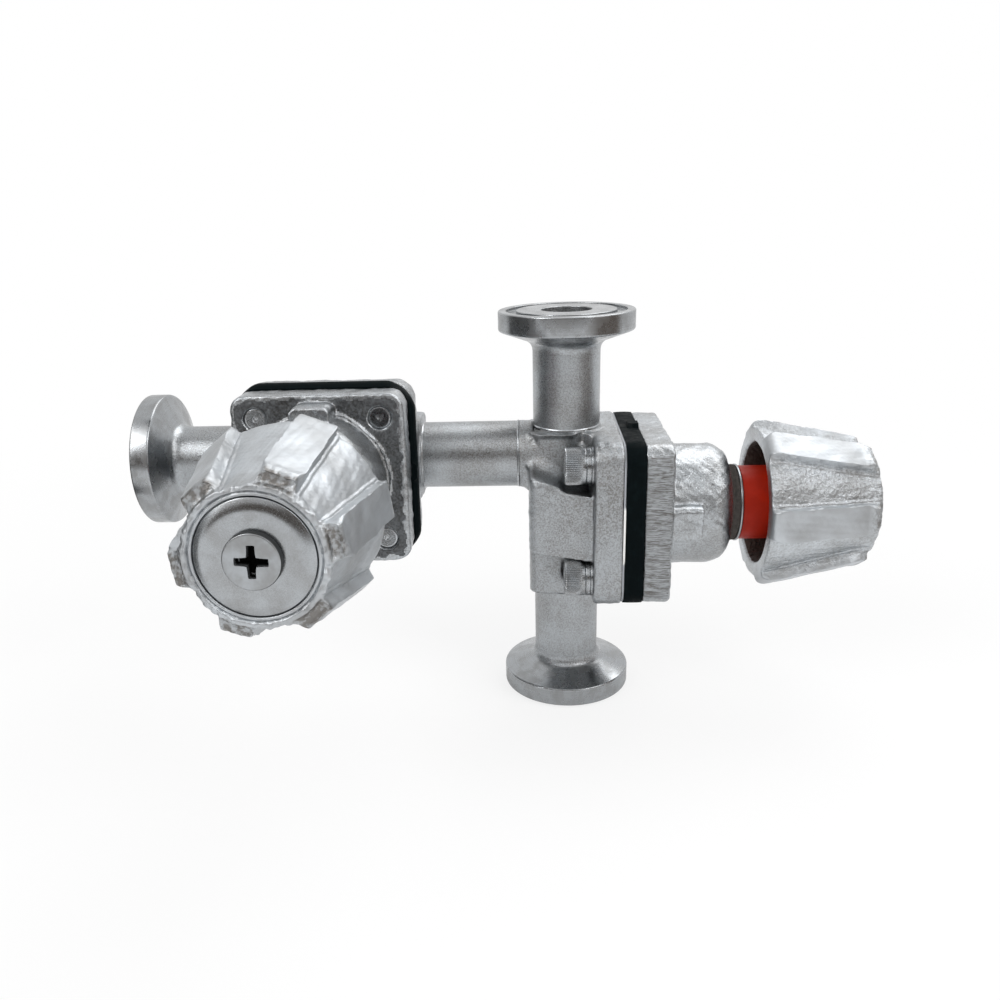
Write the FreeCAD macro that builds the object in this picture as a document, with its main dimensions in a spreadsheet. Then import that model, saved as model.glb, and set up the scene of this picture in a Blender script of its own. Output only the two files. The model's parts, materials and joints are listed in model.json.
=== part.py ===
import FreeCAD, Part
import math
import os
import Sketcher

Vector = FreeCAD.Vector

# Sanitary manifold of two manual diaphragm valves with three clamp ferrules.
# Frame: +Z up along the upright run, +X to the right, the viewer stands at -Y.
# The origin is the centre of the bottom ferrule's sealing face. Millimetres.

SIZES = [
    ("tube_outer_radius", 6.35),
    ("tube_bore_radius", 4.7),
    ("rim_radius", 12.7),
    ("rim_edge", 3.6),
    ("rim_cone_drop", 1.75),
    ("ferrule_neck_radius", 7.6),
    ("ferrule_neck_fillet", 1.6),
    ("ferrule_length_bottom", 21.85),
    ("ferrule_length_top", 21.5),
    ("ferrule_length_left", 21.1),
    ("face_land", 1.5),
    ("face_groove_width", 1.9),
    ("face_groove_depth", 0.7),
    ("core_half_length", 16.0),
    ("core_half_width", 7.6),
    ("core_back", 7.3),
    ("core_rounding", 2.4),
    ("web_back_rounding", 2.0),
    ("web_half_width", 13.3),
    ("web_upper_back", 10.4),
    ("web_upper_front", 6.6),
    ("web_lower_back", 5.2),
    ("web_lower_front", 7.2),
    ("stub_radius", 6.5),
    ("stub_length", 0.5),
    ("flange_side", 31.6),
    ("flange_corner", 3.8),
    ("flange_edge_rounding", 0.6),
    ("body_flange_thickness", 5.2),
    ("flange_face", 9.8),
    ("passage_bend_start", 13.5),
    ("passage_bend_radius", 7.0),
    ("passage_slope", 55.0),
    ("bowl_radius", 8.7),
    ("bowl_depth", 2.5),
    ("branch_offset", 10.65),
    ("branch_stub_radius", 6.85),
    ("branch_stub_end", 9.3),
    ("branch_stub_start", 6.5),
    ("valve_spacing", 44.0),
    ("clocking_a", 2.2),
    ("facing_thickness", 0.35),
    ("facing_inset", 0.3),
    ("rubber_thickness", 3.5),
    ("rubber_inset", 0.15),
    ("rubber_tab_width", 1.6),
    ("rubber_tab_height", 0.5),
    ("membrane_thickness", 2.0),
    ("membrane_flat_radius", 4.5),
    ("membrane_edge_gap", 0.1),
    ("weir_crest", 5.9),
    ("bonnet_flange_side", 30.7),
    ("bonnet_flange_corner", 3.0),
    ("bonnet_flange_thickness", 5.2),
    ("dome_radius", 11.7),
    ("dome_end", 31.0),
    ("dome_shoulder", 4.1),
    ("dome_root_flare", 0.7),
    ("neck_radius", 7.45),
    ("neck_length", 2.1),
    ("neck_chamfer", 0.7),
    ("pad_width", 6.9),
    ("pad_length", 5.6),
    ("pad_reach", 13.9),
    ("pad_rounding", 1.2),
    ("cavity_radius", 8.9),
    ("cavity_end", 22.0),
    ("lift_a", 5.0),
    ("lift_b", 3.0),
    ("piston_radius", 8.4),
    ("piston_clearance_above_nose", 2.2),
    ("piston_length", 5.8),
    ("piston_chamfer", 1.0),
    ("nose_width", 3.0),
    ("nose_arc_radius", 6.06),
    ("key_width", 3.0),
    ("key_length", 2.4),
    ("key_reach", 10.2),
    ("stem_radius", 5.0),
    ("stem_length", 9.8),
    ("stud_radius", 1.2),
    ("stud_length", 5.0),
    ("stud_head_radius", 2.0),
    ("stud_head_thickness", 0.6),
    ("stud_head_cover", 0.6),
    ("bush_outer_radius", 5.6),
    ("bush_seat_depth", 1.7),
    ("bush_flange_radius", 6.4),
    ("bush_flange_thickness", 1.0),
    ("sleeve_radius", 7.2),
    ("sleeve_length", 12.3),
    ("spindle_radius", 3.9),
    ("spindle_head_radius", 3.1),
    ("spindle_head_thickness", 2.2),
    ("spindle_neck_radius", 1.9),
    ("spindle_neck_length", 3.0),
    ("spindle_square", 5.3),
    ("spindle_square_rounding", 0.3),
    ("wheel_closed_gap", 14.6),
    ("wheel_length", 21.1),
    ("wheel_mouth_radius", 11.9),
    ("wheel_cavity_radius", 8.6),
    ("wheel_cavity_depth", 15.0),
    ("wheel_large_radius", 14.6),
    ("wheel_small_radius", 10.3),
    ("lobe_large_radius", 16.15),
    ("lobe_small_radius", 11.7),
    ("lobe_width", 6.7),
    ("lobe_count", 6),
    ("lobe_end_rounding", 1.4),
    ("wheel_turn_a", 9.5),
    ("wheel_turn_b", 28.8),
    ("cap_seat_depth", 1.2),
    ("cap_radius", 8.55),
    ("cap_thickness", 1.6),
    ("cap_chamfer", 0.8),
    ("cap_screw_radius", 1.95),
    ("cap_screw_length", 9.0),
    ("cap_screw_head_radius", 4.1),
    ("cap_screw_head_height", 1.2),
    ("cap_screw_head_chamfer", 0.3),
    ("cap_screw_turn_a", -5.0),
    ("cap_screw_turn_b", 20.0),
    ("cross_span", 4.7),
    ("cross_width", 1.0),
    ("cross_depth", 0.9),
    ("screw_spacing", 22.0),
    ("screw_radius", 2.0),
    ("screw_recess", 0.45),
    ("screw_hole_radius", 2.15),
    ("screw_hole_chamfer", 0.3),
    ("head_radius", 3.5),
    ("head_height", 4.0),
    ("head_rounding", 0.3),
    ("head_relief", 0.4),
    ("hex_across_flats", 3.0),
    ("hex_depth", 2.0),
    ("flat_washer_radius", 3.6),
    ("flat_washer_thickness", 0.5),
    ("spring_washer_radius", 3.5),
    ("spring_washer_thickness", 0.9),
    ("spring_washer_gap", 0.8),
    ("press_clearance", 0.03),
    ("running_clearance", 0.06),
    ("slide_clearance", 0.15),
]

doc = FreeCAD.newDocument("diaphragm_valve_manifold")
sheet = doc.addObject("Spreadsheet::Sheet", "Sizes")
for row, (alias, number) in enumerate(SIZES, start=1):
    sheet.set("A%d" % row, alias)
    sheet.set("B%d" % row, str(number))
    sheet.setAlias("B%d" % row, alias)
doc.recompute()

# Places along a valve, measured from its run axis towards its handwheel.
FLANGE_FACE = "Sizes.flange_face"
FLANGE_BACK = "(Sizes.flange_face - Sizes.body_flange_thickness)"
FACING_TOP = "(Sizes.flange_face + Sizes.facing_thickness)"
BONNET_BASE = "(%s + Sizes.rubber_thickness)" % FACING_TOP
BONNET_FACE = "(%s + Sizes.bonnet_flange_thickness)" % BONNET_BASE
NECK_END = "(Sizes.dome_end + Sizes.neck_length)"
MEMBRANE_TOP = "(Sizes.weir_crest + Sizes.facing_thickness + Sizes.membrane_thickness)"
NOSE_END = "(%s + Sizes.running_clearance)" % MEMBRANE_TOP
PISTON_START = "(%s + Sizes.piston_clearance_above_nose)" % NOSE_END
PISTON_END = "(%s + Sizes.piston_length)" % PISTON_START
STEM_END = "(%s + Sizes.stem_length)" % PISTON_END
SLOT_NECK_START = "(%s - Sizes.spindle_neck_length + 2 * Sizes.slide_clearance)" % STEM_END
SLOT_HEAD_START = "(%s - Sizes.spindle_head_thickness - 2 * Sizes.slide_clearance)" % SLOT_NECK_START
SPINDLE_HEAD_START = "(%s + Sizes.slide_clearance)" % SLOT_HEAD_START
SPINDLE_NECK_START = "(%s + Sizes.spindle_head_thickness)" % SPINDLE_HEAD_START
SPINDLE_SHAFT_START = "(%s + Sizes.spindle_neck_length)" % SPINDLE_NECK_START
WHEEL_START = "(%s + Sizes.wheel_closed_gap)" % BONNET_FACE
WHEEL_WEB = "(%s + Sizes.wheel_cavity_depth)" % WHEEL_START
WHEEL_END = "(%s + Sizes.wheel_length)" % WHEEL_START
CAP_SEAT = "(%s - Sizes.cap_seat_depth)" % WHEEL_END
CAP_TOP = "(%s + Sizes.cap_thickness)" % CAP_SEAT
SCREW_REACH = "(Sizes.screw_spacing / 2)"
WASHER_STACK = "(Sizes.flat_washer_thickness + Sizes.spring_washer_thickness)"

# Places in the whole manifold.
STUB_END = "(Sizes.core_half_length + Sizes.stub_length)"
RUN_CENTRE = "(%s + Sizes.ferrule_length_bottom)" % STUB_END
LINK_HEIGHT = "(%s + Sizes.branch_offset)" % RUN_CENTRE

# A valve's own frame has its run along local X and its handwheel along local +Z.
VALVE_FRAME = {
    "a": "placement(vector(-Sizes.valve_spacing; 0; %s); rotation(vector(1; 0; 0); 90 - Sizes.clocking_a))"
         % LINK_HEIGHT,
    "b": "placement(vector(0; 0; %s); rotation(vector(1; 0; 1); 180))" % RUN_CENTRE,
}
LIFT = {"a": "Sizes.lift_a", "b": "Sizes.lift_b"}
WHEEL_TURN = {"a": "Sizes.wheel_turn_a", "b": "Sizes.wheel_turn_b"}
CAP_SCREW_TURN = {"a": "Sizes.cap_screw_turn_a", "b": "Sizes.cap_screw_turn_b"}

nodes = []


def measure(expression):
    return float(sheet.evalExpression(expression))


def past(place):
    """A place a little beyond, where a cut has left the solid or a base is sunk in."""
    return "(%s + 1)" % place


def short_of(place):
    return "(%s - 1)" % place


def new_body(label):
    body = doc.addObject("PartDesign::Body", label)
    body.Label = label
    nodes.append(body)
    return body


def place(body, frame, along="0", turn="0"):
    shift = "placement(vector(0; 0; %s); rotation(vector(0; 0; 1); %s))" % (along, turn)
    body.setExpression("Placement", "%s * %s" % (frame, shift))


def origin_feature(body, role):
    for feature in body.Origin.OriginFeatures:
        if feature.Role == role:
            return feature
    raise ValueError(role)


def new_sketch(body, name, role="XY_Plane", height=None):
    sketch = body.newObject("Sketcher::SketchObject", name)
    sketch.AttachmentSupport = [(origin_feature(body, role), "")]
    sketch.MapMode = "FlatFace"
    if height is not None:
        sketch.setExpression("AttachmentOffset.Base.z", height)
    return sketch


def bind(sketch, kind, targets, expression):
    index = sketch.addConstraint(Sketcher.Constraint(kind, *targets, measure(expression)))
    sketch.setExpression("Constraints[%d]" % index, expression)


def polygon(sketch, corners):
    """Closed outline through corners, each an (x, y) pair of sheet expressions."""
    points = [Vector(measure(x), measure(y), 0) for x, y in corners]
    first = sketch.GeometryCount
    count = len(points)
    for i in range(count):
        sketch.addGeometry(Part.LineSegment(points[i], points[(i + 1) % count]))
    for i in range(count):
        following = first + (i + 1) % count
        sketch.addConstraint(Sketcher.Constraint("Coincident", first + i, 2, following, 1))
    for i, (x, y) in enumerate(corners):
        bind(sketch, "DistanceX", (-1, 1, first + i, 1), x)
        bind(sketch, "DistanceY", (-1, 1, first + i, 1), y)


def rectangle(sketch, left, right, low, high):
    polygon(sketch, [(left, low), (right, low), (right, high), (left, high)])


def circle(sketch, x, y, radius):
    centre = Vector(measure(x), measure(y), 0)
    index = sketch.addGeometry(Part.Circle(centre, Vector(0, 0, 1), measure(radius)))
    bind(sketch, "DistanceX", (-1, 1, index, 3), x)
    bind(sketch, "DistanceY", (-1, 1, index, 3), y)
    bind(sketch, "Radius", (index,), radius)


def half_disc(sketch, height, radius):
    """Lower half of a disc whose centre stands at a height on the sketch's Y axis."""
    centre = Vector(0, measure(height), 0)
    rim = Part.Circle(centre, Vector(0, 0, 1), measure(radius))
    arc = Part.ArcOfCircle(rim, math.pi, 2 * math.pi)
    sketch.addGeometry([arc, Part.LineSegment(arc.value(2 * math.pi), arc.value(math.pi))])
    sketch.addConstraint([
        Sketcher.Constraint("Coincident", 0, 2, 1, 1),
        Sketcher.Constraint("Coincident", 1, 2, 0, 1),
        Sketcher.Constraint("PointOnObject", 0, 3, 1),
        Sketcher.Constraint("Horizontal", 1),
    ])
    bind(sketch, "DistanceX", (-1, 1, 0, 3), "0")
    bind(sketch, "DistanceY", (-1, 1, 0, 3), height)
    bind(sketch, "Radius", (0,), radius)


def finish_feature(body, feature, removes):
    """Recompute and make sure that the feature changed the body the right way."""
    before = feature.BaseFeature.Shape.Volume if feature.BaseFeature else 0.0
    doc.recompute()
    after = feature.Shape.Volume
    if (after - before) * (-1 if removes else 1) <= 0:
        raise ValueError("%s of %s left the volume as it was" % (feature.Name, body.Label))
    body.Tip = feature
    return feature


def extrude(body, sketch, length, removes=False, midplane=False, against=False):
    kind = "PartDesign::Pocket" if removes else "PartDesign::Pad"
    feature = body.newObject(kind, sketch.Name + "_solid")
    feature.Profile = sketch
    feature.setExpression("Length", length)
    feature.Midplane = midplane
    feature.Reversed = removes != against
    return finish_feature(body, feature, removes)


def turn(body, name, corners, removes=False):
    """Revolve an outline of (radius, height) pairs about the body's Z axis."""
    sketch = new_sketch(body, name, "XZ_Plane")
    polygon(sketch, corners)
    kind = "PartDesign::Groove" if removes else "PartDesign::Revolution"
    feature = body.newObject(kind, name + "_turned")
    feature.Profile = sketch
    feature.ReferenceAxis = (sketch, ["V_Axis"])
    feature.Angle = 360
    return finish_feature(body, feature, removes)


def polar(body, feature, count, name):
    pattern = body.newObject("PartDesign::PolarPattern", name)
    pattern.Originals = [feature]
    pattern.Axis = (origin_feature(body, "Z_Axis"), [""])
    pattern.Angle = 360
    pattern.setExpression("Occurrences", count)
    body.Tip = pattern
    doc.recompute()
    return pattern


def mirrored(body, features, role, name):
    mirror = body.newObject("PartDesign::Mirrored", name)
    mirror.Originals = features
    mirror.MirrorPlane = (origin_feature(body, role), [""])
    body.Tip = mirror
    doc.recompute()
    return mirror


def edges_where(shape, test):
    names = []
    for number, edge in enumerate(shape.Edges, start=1):
        if test(edge):
            names.append("Edge%d" % number)
    return names


def near(a, b):
    return abs(a - b) < 1e-4


def ring_at(radius, height):
    radius = measure(radius)
    height = measure(height)

    def test(edge):
        curve = edge.Curve
        return (isinstance(curve, Part.Circle) and near(curve.Radius, radius)
                and near(curve.Center.z, height))
    return test


def straight_along(axis, **places):
    """Straight edges along an axis whose middle lies at the given |x|, y or z places."""
    wanted = {name: measure(place) for name, place in places.items()}

    def test(edge):
        if not isinstance(edge.Curve, Part.Line):
            return False
        direction = edge.tangentAt(edge.FirstParameter)
        if not near(abs(getattr(direction, axis)), 1.0):
            return False
        middle = edge.CenterOfMass
        reached = {"abs_x": abs(middle.x), "abs_y": abs(middle.y), "x": middle.x, "z": middle.z}
        return all(near(reached[name], place) for name, place in wanted.items())
    return test


def outline_at(height, half):
    """Edges of a square plate's outline at a height, at or beyond its half side."""
    height = measure(height)
    half = measure(half)

    def test(edge):
        middle = edge.CenterOfMass
        level = all(near(corner.Z, height) for corner in edge.Vertexes)
        return level and near(middle.z, height) and math.hypot(middle.x, middle.y) > half - 1e-4
    return test


def soften(body, test, size, name, kind="Fillet"):
    """Round or chamfer the edges of the body's tip that pass the test."""
    base = body.Tip
    names = edges_where(base.Shape, test)
    if not names:
        raise ValueError("%s of %s found no edge" % (name, body.Label))
    feature = body.newObject("PartDesign::" + kind, name)
    feature.Base = (base, names)
    feature.setExpression("Radius" if kind == "Fillet" else "Size", size)
    body.Tip = feature
    doc.recompute()
    return feature


def square_plate(body, name, start, thickness, side, corner):
    half = "(%s / 2)" % side
    sketch = new_sketch(body, name, height=start)
    rectangle(sketch, "-" + half, half, "-" + half, half)
    extrude(body, sketch, thickness)
    soften(body, straight_along("z", abs_x=half, abs_y=half), corner, name + "_corners")


def ferrule(label, length, frame):
    """Clamp ferrule, its sealing face at local z = 0 and its tube along local -Z."""
    body = new_body(label)
    groove_out = "(Sizes.rim_radius - Sizes.face_land)"
    groove_in = "(%s - Sizes.face_groove_width)" % groove_out
    cone_end = "(-Sizes.rim_edge - Sizes.rim_cone_drop)"
    turn(body, label + "_profile", [
        ("Sizes.tube_bore_radius", "0"),
        (groove_in, "0"),
        (groove_in, "-Sizes.face_groove_depth"),
        (groove_out, "-Sizes.face_groove_depth"),
        (groove_out, "0"),
        ("Sizes.rim_radius", "0"),
        ("Sizes.rim_radius", "-Sizes.rim_edge"),
        ("Sizes.ferrule_neck_radius", cone_end),
        ("Sizes.tube_outer_radius", "(%s - Sizes.ferrule_neck_fillet)" % cone_end),
        ("Sizes.tube_outer_radius", "-" + length),
        ("Sizes.tube_bore_radius", "-" + length),
    ])
    soften(body, ring_at("Sizes.ferrule_neck_radius", cone_end),
           "Sizes.ferrule_neck_fillet", label + "_neck")
    body.setExpression("Placement", frame)


def link_tube():
    """Tube between valve A's body and the branch stub of valve B's body."""
    body = new_body("link_tube")
    start = "(-Sizes.valve_spacing + %s)" % STUB_END
    sketch = new_sketch(body, "link_section", "YZ_Plane", start)
    circle(sketch, "0", LINK_HEIGHT, "Sizes.tube_outer_radius")
    circle(sketch, "0", LINK_HEIGHT, "Sizes.tube_bore_radius")
    extrude(body, sketch, "-Sizes.branch_stub_end - %s" % start)


def weir_passage(body, suffix):
    """Half of the waterway: along the run, up a bend and out into the bowl."""
    entry = short_of("-" + STUB_END)
    profile = new_sketch(body, "passage_section_" + suffix, "YZ_Plane", entry)
    circle(profile, "0", "0", "Sizes.tube_bore_radius")
    path = new_sketch(body, "passage_path_" + suffix, "XZ_Plane")
    start = Vector(measure(entry), 0, 0)
    bend = Vector(-measure("Sizes.passage_bend_start"), 0, 0)
    radius = measure("Sizes.passage_bend_radius")
    slope = math.radians(measure("Sizes.passage_slope"))
    bend_circle = Part.Circle(bend + Vector(0, radius, 0), Vector(0, 0, 1), radius)
    arc = Part.ArcOfCircle(bend_circle, -math.pi / 2, -math.pi / 2 + slope)
    leave = arc.value(arc.LastParameter)
    top = measure(past("Sizes.flange_face"))
    rise = arc.tangent(arc.LastParameter)[0]
    end = leave + rise * ((top - leave.y) / rise.y)
    path.addGeometry([Part.LineSegment(start, bend), arc, Part.LineSegment(leave, end)])
    path.addConstraint([
        Sketcher.Constraint("Tangent", 0, 2, 1, 1),
        Sketcher.Constraint("Tangent", 1, 2, 2, 1),
    ])
    bind(path, "DistanceX", (-1, 1, 0, 1), entry)
    bind(path, "DistanceY", (-1, 1, 0, 1), "0")
    bind(path, "DistanceX", (-1, 1, 0, 2), "-Sizes.passage_bend_start")
    bind(path, "DistanceY", (-1, 1, 0, 2), "0")
    bind(path, "Radius", (1,), "Sizes.passage_bend_radius")
    sloping = path.addConstraint(Sketcher.Constraint("Angle", 2, slope))
    path.setExpression("Constraints[%d]" % sloping, "Sizes.passage_slope * 1 deg")
    bind(path, "DistanceY", (-1, 1, 2, 2), past("Sizes.flange_face"))
    pipe = body.newObject("PartDesign::SubtractivePipe", "passage_" + suffix)
    pipe.Profile = profile
    pipe.Spine = path
    finish_feature(body, pipe, True)
    mirrored(body, [pipe], "YZ_Plane", "passage_pair_" + suffix)


def bowl(body, suffix):
    """Shallow spherical bowl under the diaphragm, open at the flange face."""
    sketch = new_sketch(body, "bowl_profile_" + suffix, "XZ_Plane")
    radius = measure("Sizes.bowl_radius")
    depth = measure("Sizes.bowl_depth")
    face = measure("Sizes.flange_face")
    sphere = (radius ** 2 + depth ** 2) / (2 * depth)
    centre = face - depth + sphere
    half_way = math.asin(radius / sphere) / 2
    low = Vector(0, face - depth, 0)
    side = Vector(radius, face, 0)
    middle = Vector(sphere * math.sin(half_way), centre - sphere * math.cos(half_way), 0)
    above = measure(past("Sizes.flange_face"))
    sketch.addGeometry([
        Part.Arc(low, middle, side),
        Part.LineSegment(side, Vector(radius, above, 0)),
        Part.LineSegment(Vector(radius, above, 0), Vector(0, above, 0)),
        Part.LineSegment(Vector(0, above, 0), low),
    ])
    sketch.addConstraint([
        Sketcher.Constraint("Coincident", 0, 2, 1, 1),
        Sketcher.Constraint("Coincident", 1, 2, 2, 1),
        Sketcher.Constraint("Coincident", 2, 2, 3, 1),
        Sketcher.Constraint("Coincident", 3, 2, 0, 1),
        Sketcher.Constraint("Vertical", 1),
        Sketcher.Constraint("Horizontal", 2),
        Sketcher.Constraint("Vertical", 3),
    ])
    bind(sketch, "DistanceX", (-1, 1, 0, 2), "Sizes.bowl_radius")
    bind(sketch, "DistanceY", (-1, 1, 0, 2), "Sizes.flange_face")
    bind(sketch, "DistanceX", (-1, 1, 0, 1), "0")
    bind(sketch, "DistanceY", (-1, 1, 0, 1), "Sizes.flange_face - Sizes.bowl_depth")
    bind(sketch, "DistanceY", (-1, 1, 1, 2), past("Sizes.flange_face"))
    bind(sketch, "Radius", (0,),
         "(Sizes.bowl_radius ^ 2 + Sizes.bowl_depth ^ 2) / (2 * Sizes.bowl_depth)")
    groove = body.newObject("PartDesign::Groove", "bowl_" + suffix)
    groove.Profile = sketch
    groove.ReferenceAxis = (sketch, ["V_Axis"])
    groove.Angle = 360
    finish_feature(body, groove, True)


def valve_body(suffix, with_branch):
    """Cast weir body: core and web, round run stubs, bonnet flange and waterway."""
    body = new_body("valve_body_" + suffix)
    square_plate(body, "flange_" + suffix, FLANGE_BACK, "Sizes.body_flange_thickness",
                 "Sizes.flange_side", "Sizes.flange_corner")
    soften(body, outline_at(FLANGE_BACK, "Sizes.flange_side / 2"), "Sizes.flange_edge_rounding",
           "flange_edge_" + suffix)
    back = "-Sizes.core_back"
    core = new_sketch(body, "core_" + suffix, height=back)
    rectangle(core, "-Sizes.core_half_length", "Sizes.core_half_length",
              "-Sizes.core_half_width", "Sizes.core_half_width")
    extrude(body, core, "%s + Sizes.core_back" % FLANGE_BACK)
    soften(body, straight_along("x", abs_y="Sizes.core_half_width", z=back),
           "Sizes.core_rounding", "core_rounding_" + suffix)
    web = new_sketch(body, "web_" + suffix, "XZ_Plane")
    polygon(web, [
        ("-Sizes.web_lower_back", back),
        ("Sizes.web_upper_back", back),
        ("Sizes.web_upper_front", FLANGE_BACK),
        ("-Sizes.web_lower_front", FLANGE_BACK),
    ])
    extrude(body, web, "2 * Sizes.web_half_width", midplane=True)
    soften(body, straight_along("x", abs_y="Sizes.web_half_width", z=back),
           "Sizes.web_back_rounding", "web_rounding_" + suffix)
    stubs = new_sketch(body, "stubs_" + suffix, "YZ_Plane")
    circle(stubs, "0", "0", "Sizes.stub_radius")
    extrude(body, stubs, "2 * %s" % STUB_END, midplane=True)
    if with_branch:
        branch = new_sketch(body, "branch_stub_" + suffix, height="-Sizes.branch_stub_end")
        circle(branch, "Sizes.branch_offset", "0", "Sizes.branch_stub_radius")
        extrude(body, branch, "Sizes.branch_stub_end - Sizes.branch_stub_start")
    weir_passage(body, suffix)
    bowl(body, suffix)
    if with_branch:
        bore = new_sketch(body, "branch_bore_" + suffix, height="-Sizes.branch_stub_end")
        circle(bore, "Sizes.branch_offset", "0", "Sizes.tube_bore_radius")
        extrude(body, bore, "Sizes.branch_stub_end", removes=True)
    relief = new_sketch(body, "head_relief_" + suffix,
                        height="%s - %s - Sizes.head_height - Sizes.head_relief"
                               % (FLANGE_BACK, WASHER_STACK))
    circle(relief, SCREW_REACH, SCREW_REACH, "Sizes.flat_washer_radius + Sizes.head_relief")
    reliefs = extrude(body, relief, "%s + Sizes.head_height + Sizes.head_relief" % WASHER_STACK,
                      removes=True)
    polar(body, reliefs, "4", "head_reliefs_" + suffix)
    hole = new_sketch(body, "screw_hole_" + suffix, height=FLANGE_BACK)
    circle(hole, SCREW_REACH, SCREW_REACH, "Sizes.screw_hole_radius")
    holes = extrude(body, hole, "Sizes.body_flange_thickness", removes=True)
    polar(body, holes, "4", "screw_holes_" + suffix)
    place(body, VALVE_FRAME[suffix])


def diaphragm_holes(body, name, start, thickness):
    hole = new_sketch(body, name, height=start)
    circle(hole, SCREW_REACH, SCREW_REACH, "Sizes.screw_hole_radius")
    holes = extrude(body, hole, thickness, removes=True)
    polar(body, holes, "4", name + "s")


def diaphragm_facing(suffix):
    """Thin facing on the wetted side, clamped between body flange and rubber."""
    body = new_body("diaphragm_facing_" + suffix)
    square_plate(body, "facing_plate_" + suffix, FLANGE_FACE, "Sizes.facing_thickness",
                 "(Sizes.flange_side - 2 * Sizes.facing_inset)", "Sizes.flange_corner")
    clamp = "(Sizes.bowl_radius - Sizes.membrane_edge_gap)"
    opening = new_sketch(body, "facing_opening_" + suffix, height=FLANGE_FACE)
    circle(opening, "0", "0", clamp)
    extrude(body, opening, "Sizes.facing_thickness", removes=True)
    centre = "(%s + %s - Sizes.membrane_thickness)" % (MEMBRANE_TOP, LIFT[suffix])
    turn(body, "facing_membrane_" + suffix, [
        ("0", "%s - Sizes.facing_thickness" % centre),
        ("Sizes.membrane_flat_radius", "%s - Sizes.facing_thickness" % centre),
        (clamp, FLANGE_FACE),
        (clamp, FACING_TOP),
        ("Sizes.membrane_flat_radius", centre),
        ("0", centre),
    ])
    diaphragm_holes(body, "facing_hole_" + suffix, FLANGE_FACE, "Sizes.facing_thickness")
    place(body, VALVE_FRAME[suffix])


def diaphragm_rubber(suffix):
    """Rubber backing with a locating tab and a socket for the stud's head."""
    body = new_body("diaphragm_rubber_" + suffix)
    side = "(Sizes.flange_side - 2 * Sizes.rubber_inset)"
    square_plate(body, "rubber_plate_" + suffix, FACING_TOP, "Sizes.rubber_thickness",
                 side, "Sizes.flange_corner")
    clamp = "(Sizes.bowl_radius - Sizes.membrane_edge_gap)"
    opening = new_sketch(body, "rubber_opening_" + suffix, height=FACING_TOP)
    circle(opening, "0", "0", clamp)
    extrude(body, opening, "Sizes.rubber_thickness", removes=True)
    top = "(%s + %s)" % (MEMBRANE_TOP, LIFT[suffix])
    turn(body, "rubber_membrane_" + suffix, [
        ("0", "%s - Sizes.membrane_thickness" % top),
        ("Sizes.membrane_flat_radius", "%s - Sizes.membrane_thickness" % top),
        (clamp, FACING_TOP),
        (clamp, "%s + Sizes.membrane_thickness" % FACING_TOP),
        ("Sizes.membrane_flat_radius", top),
        ("0", top),
    ])
    socket_top = "(%s - Sizes.stud_head_cover + Sizes.press_clearance)" % top
    socket_low = ("(%s - Sizes.stud_head_cover - Sizes.stud_head_thickness - Sizes.press_clearance)"
                  % top)
    turn(body, "stud_socket_" + suffix, [
        ("0", socket_low),
        ("Sizes.stud_head_radius + Sizes.press_clearance", socket_low),
        ("Sizes.stud_head_radius + Sizes.press_clearance", socket_top),
        ("Sizes.stud_radius + Sizes.press_clearance", socket_top),
        ("Sizes.stud_radius + Sizes.press_clearance", past(top)),
        ("0", past(top)),
    ], removes=True)
    tab = new_sketch(body, "rubber_tab_" + suffix, height=FACING_TOP)
    rectangle(tab, short_of("%s / 2" % side), "%s / 2 + Sizes.rubber_tab_height" % side,
              "-Sizes.rubber_tab_width / 2", "Sizes.rubber_tab_width / 2")
    extrude(body, tab, "Sizes.rubber_thickness")
    diaphragm_holes(body, "rubber_hole_" + suffix, FACING_TOP, "Sizes.rubber_thickness")
    place(body, VALVE_FRAME[suffix])


def diaphragm_stud(suffix):
    """Metal stud moulded into the rubber; it hangs in the compressor's nose."""
    body = new_body("diaphragm_stud_" + suffix)
    head_top = "(%s - Sizes.stud_head_cover)" % MEMBRANE_TOP
    turn(body, "stud_profile_" + suffix, [
        ("0", "%s - Sizes.stud_head_thickness" % head_top),
        ("Sizes.stud_head_radius", "%s - Sizes.stud_head_thickness" % head_top),
        ("Sizes.stud_head_radius", head_top),
        ("Sizes.stud_radius", head_top),
        ("Sizes.stud_radius", "%s + Sizes.stud_length" % NOSE_END),
        ("0", "%s + Sizes.stud_length" % NOSE_END),
    ])
    place(body, VALVE_FRAME[suffix], LIFT[suffix])


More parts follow.
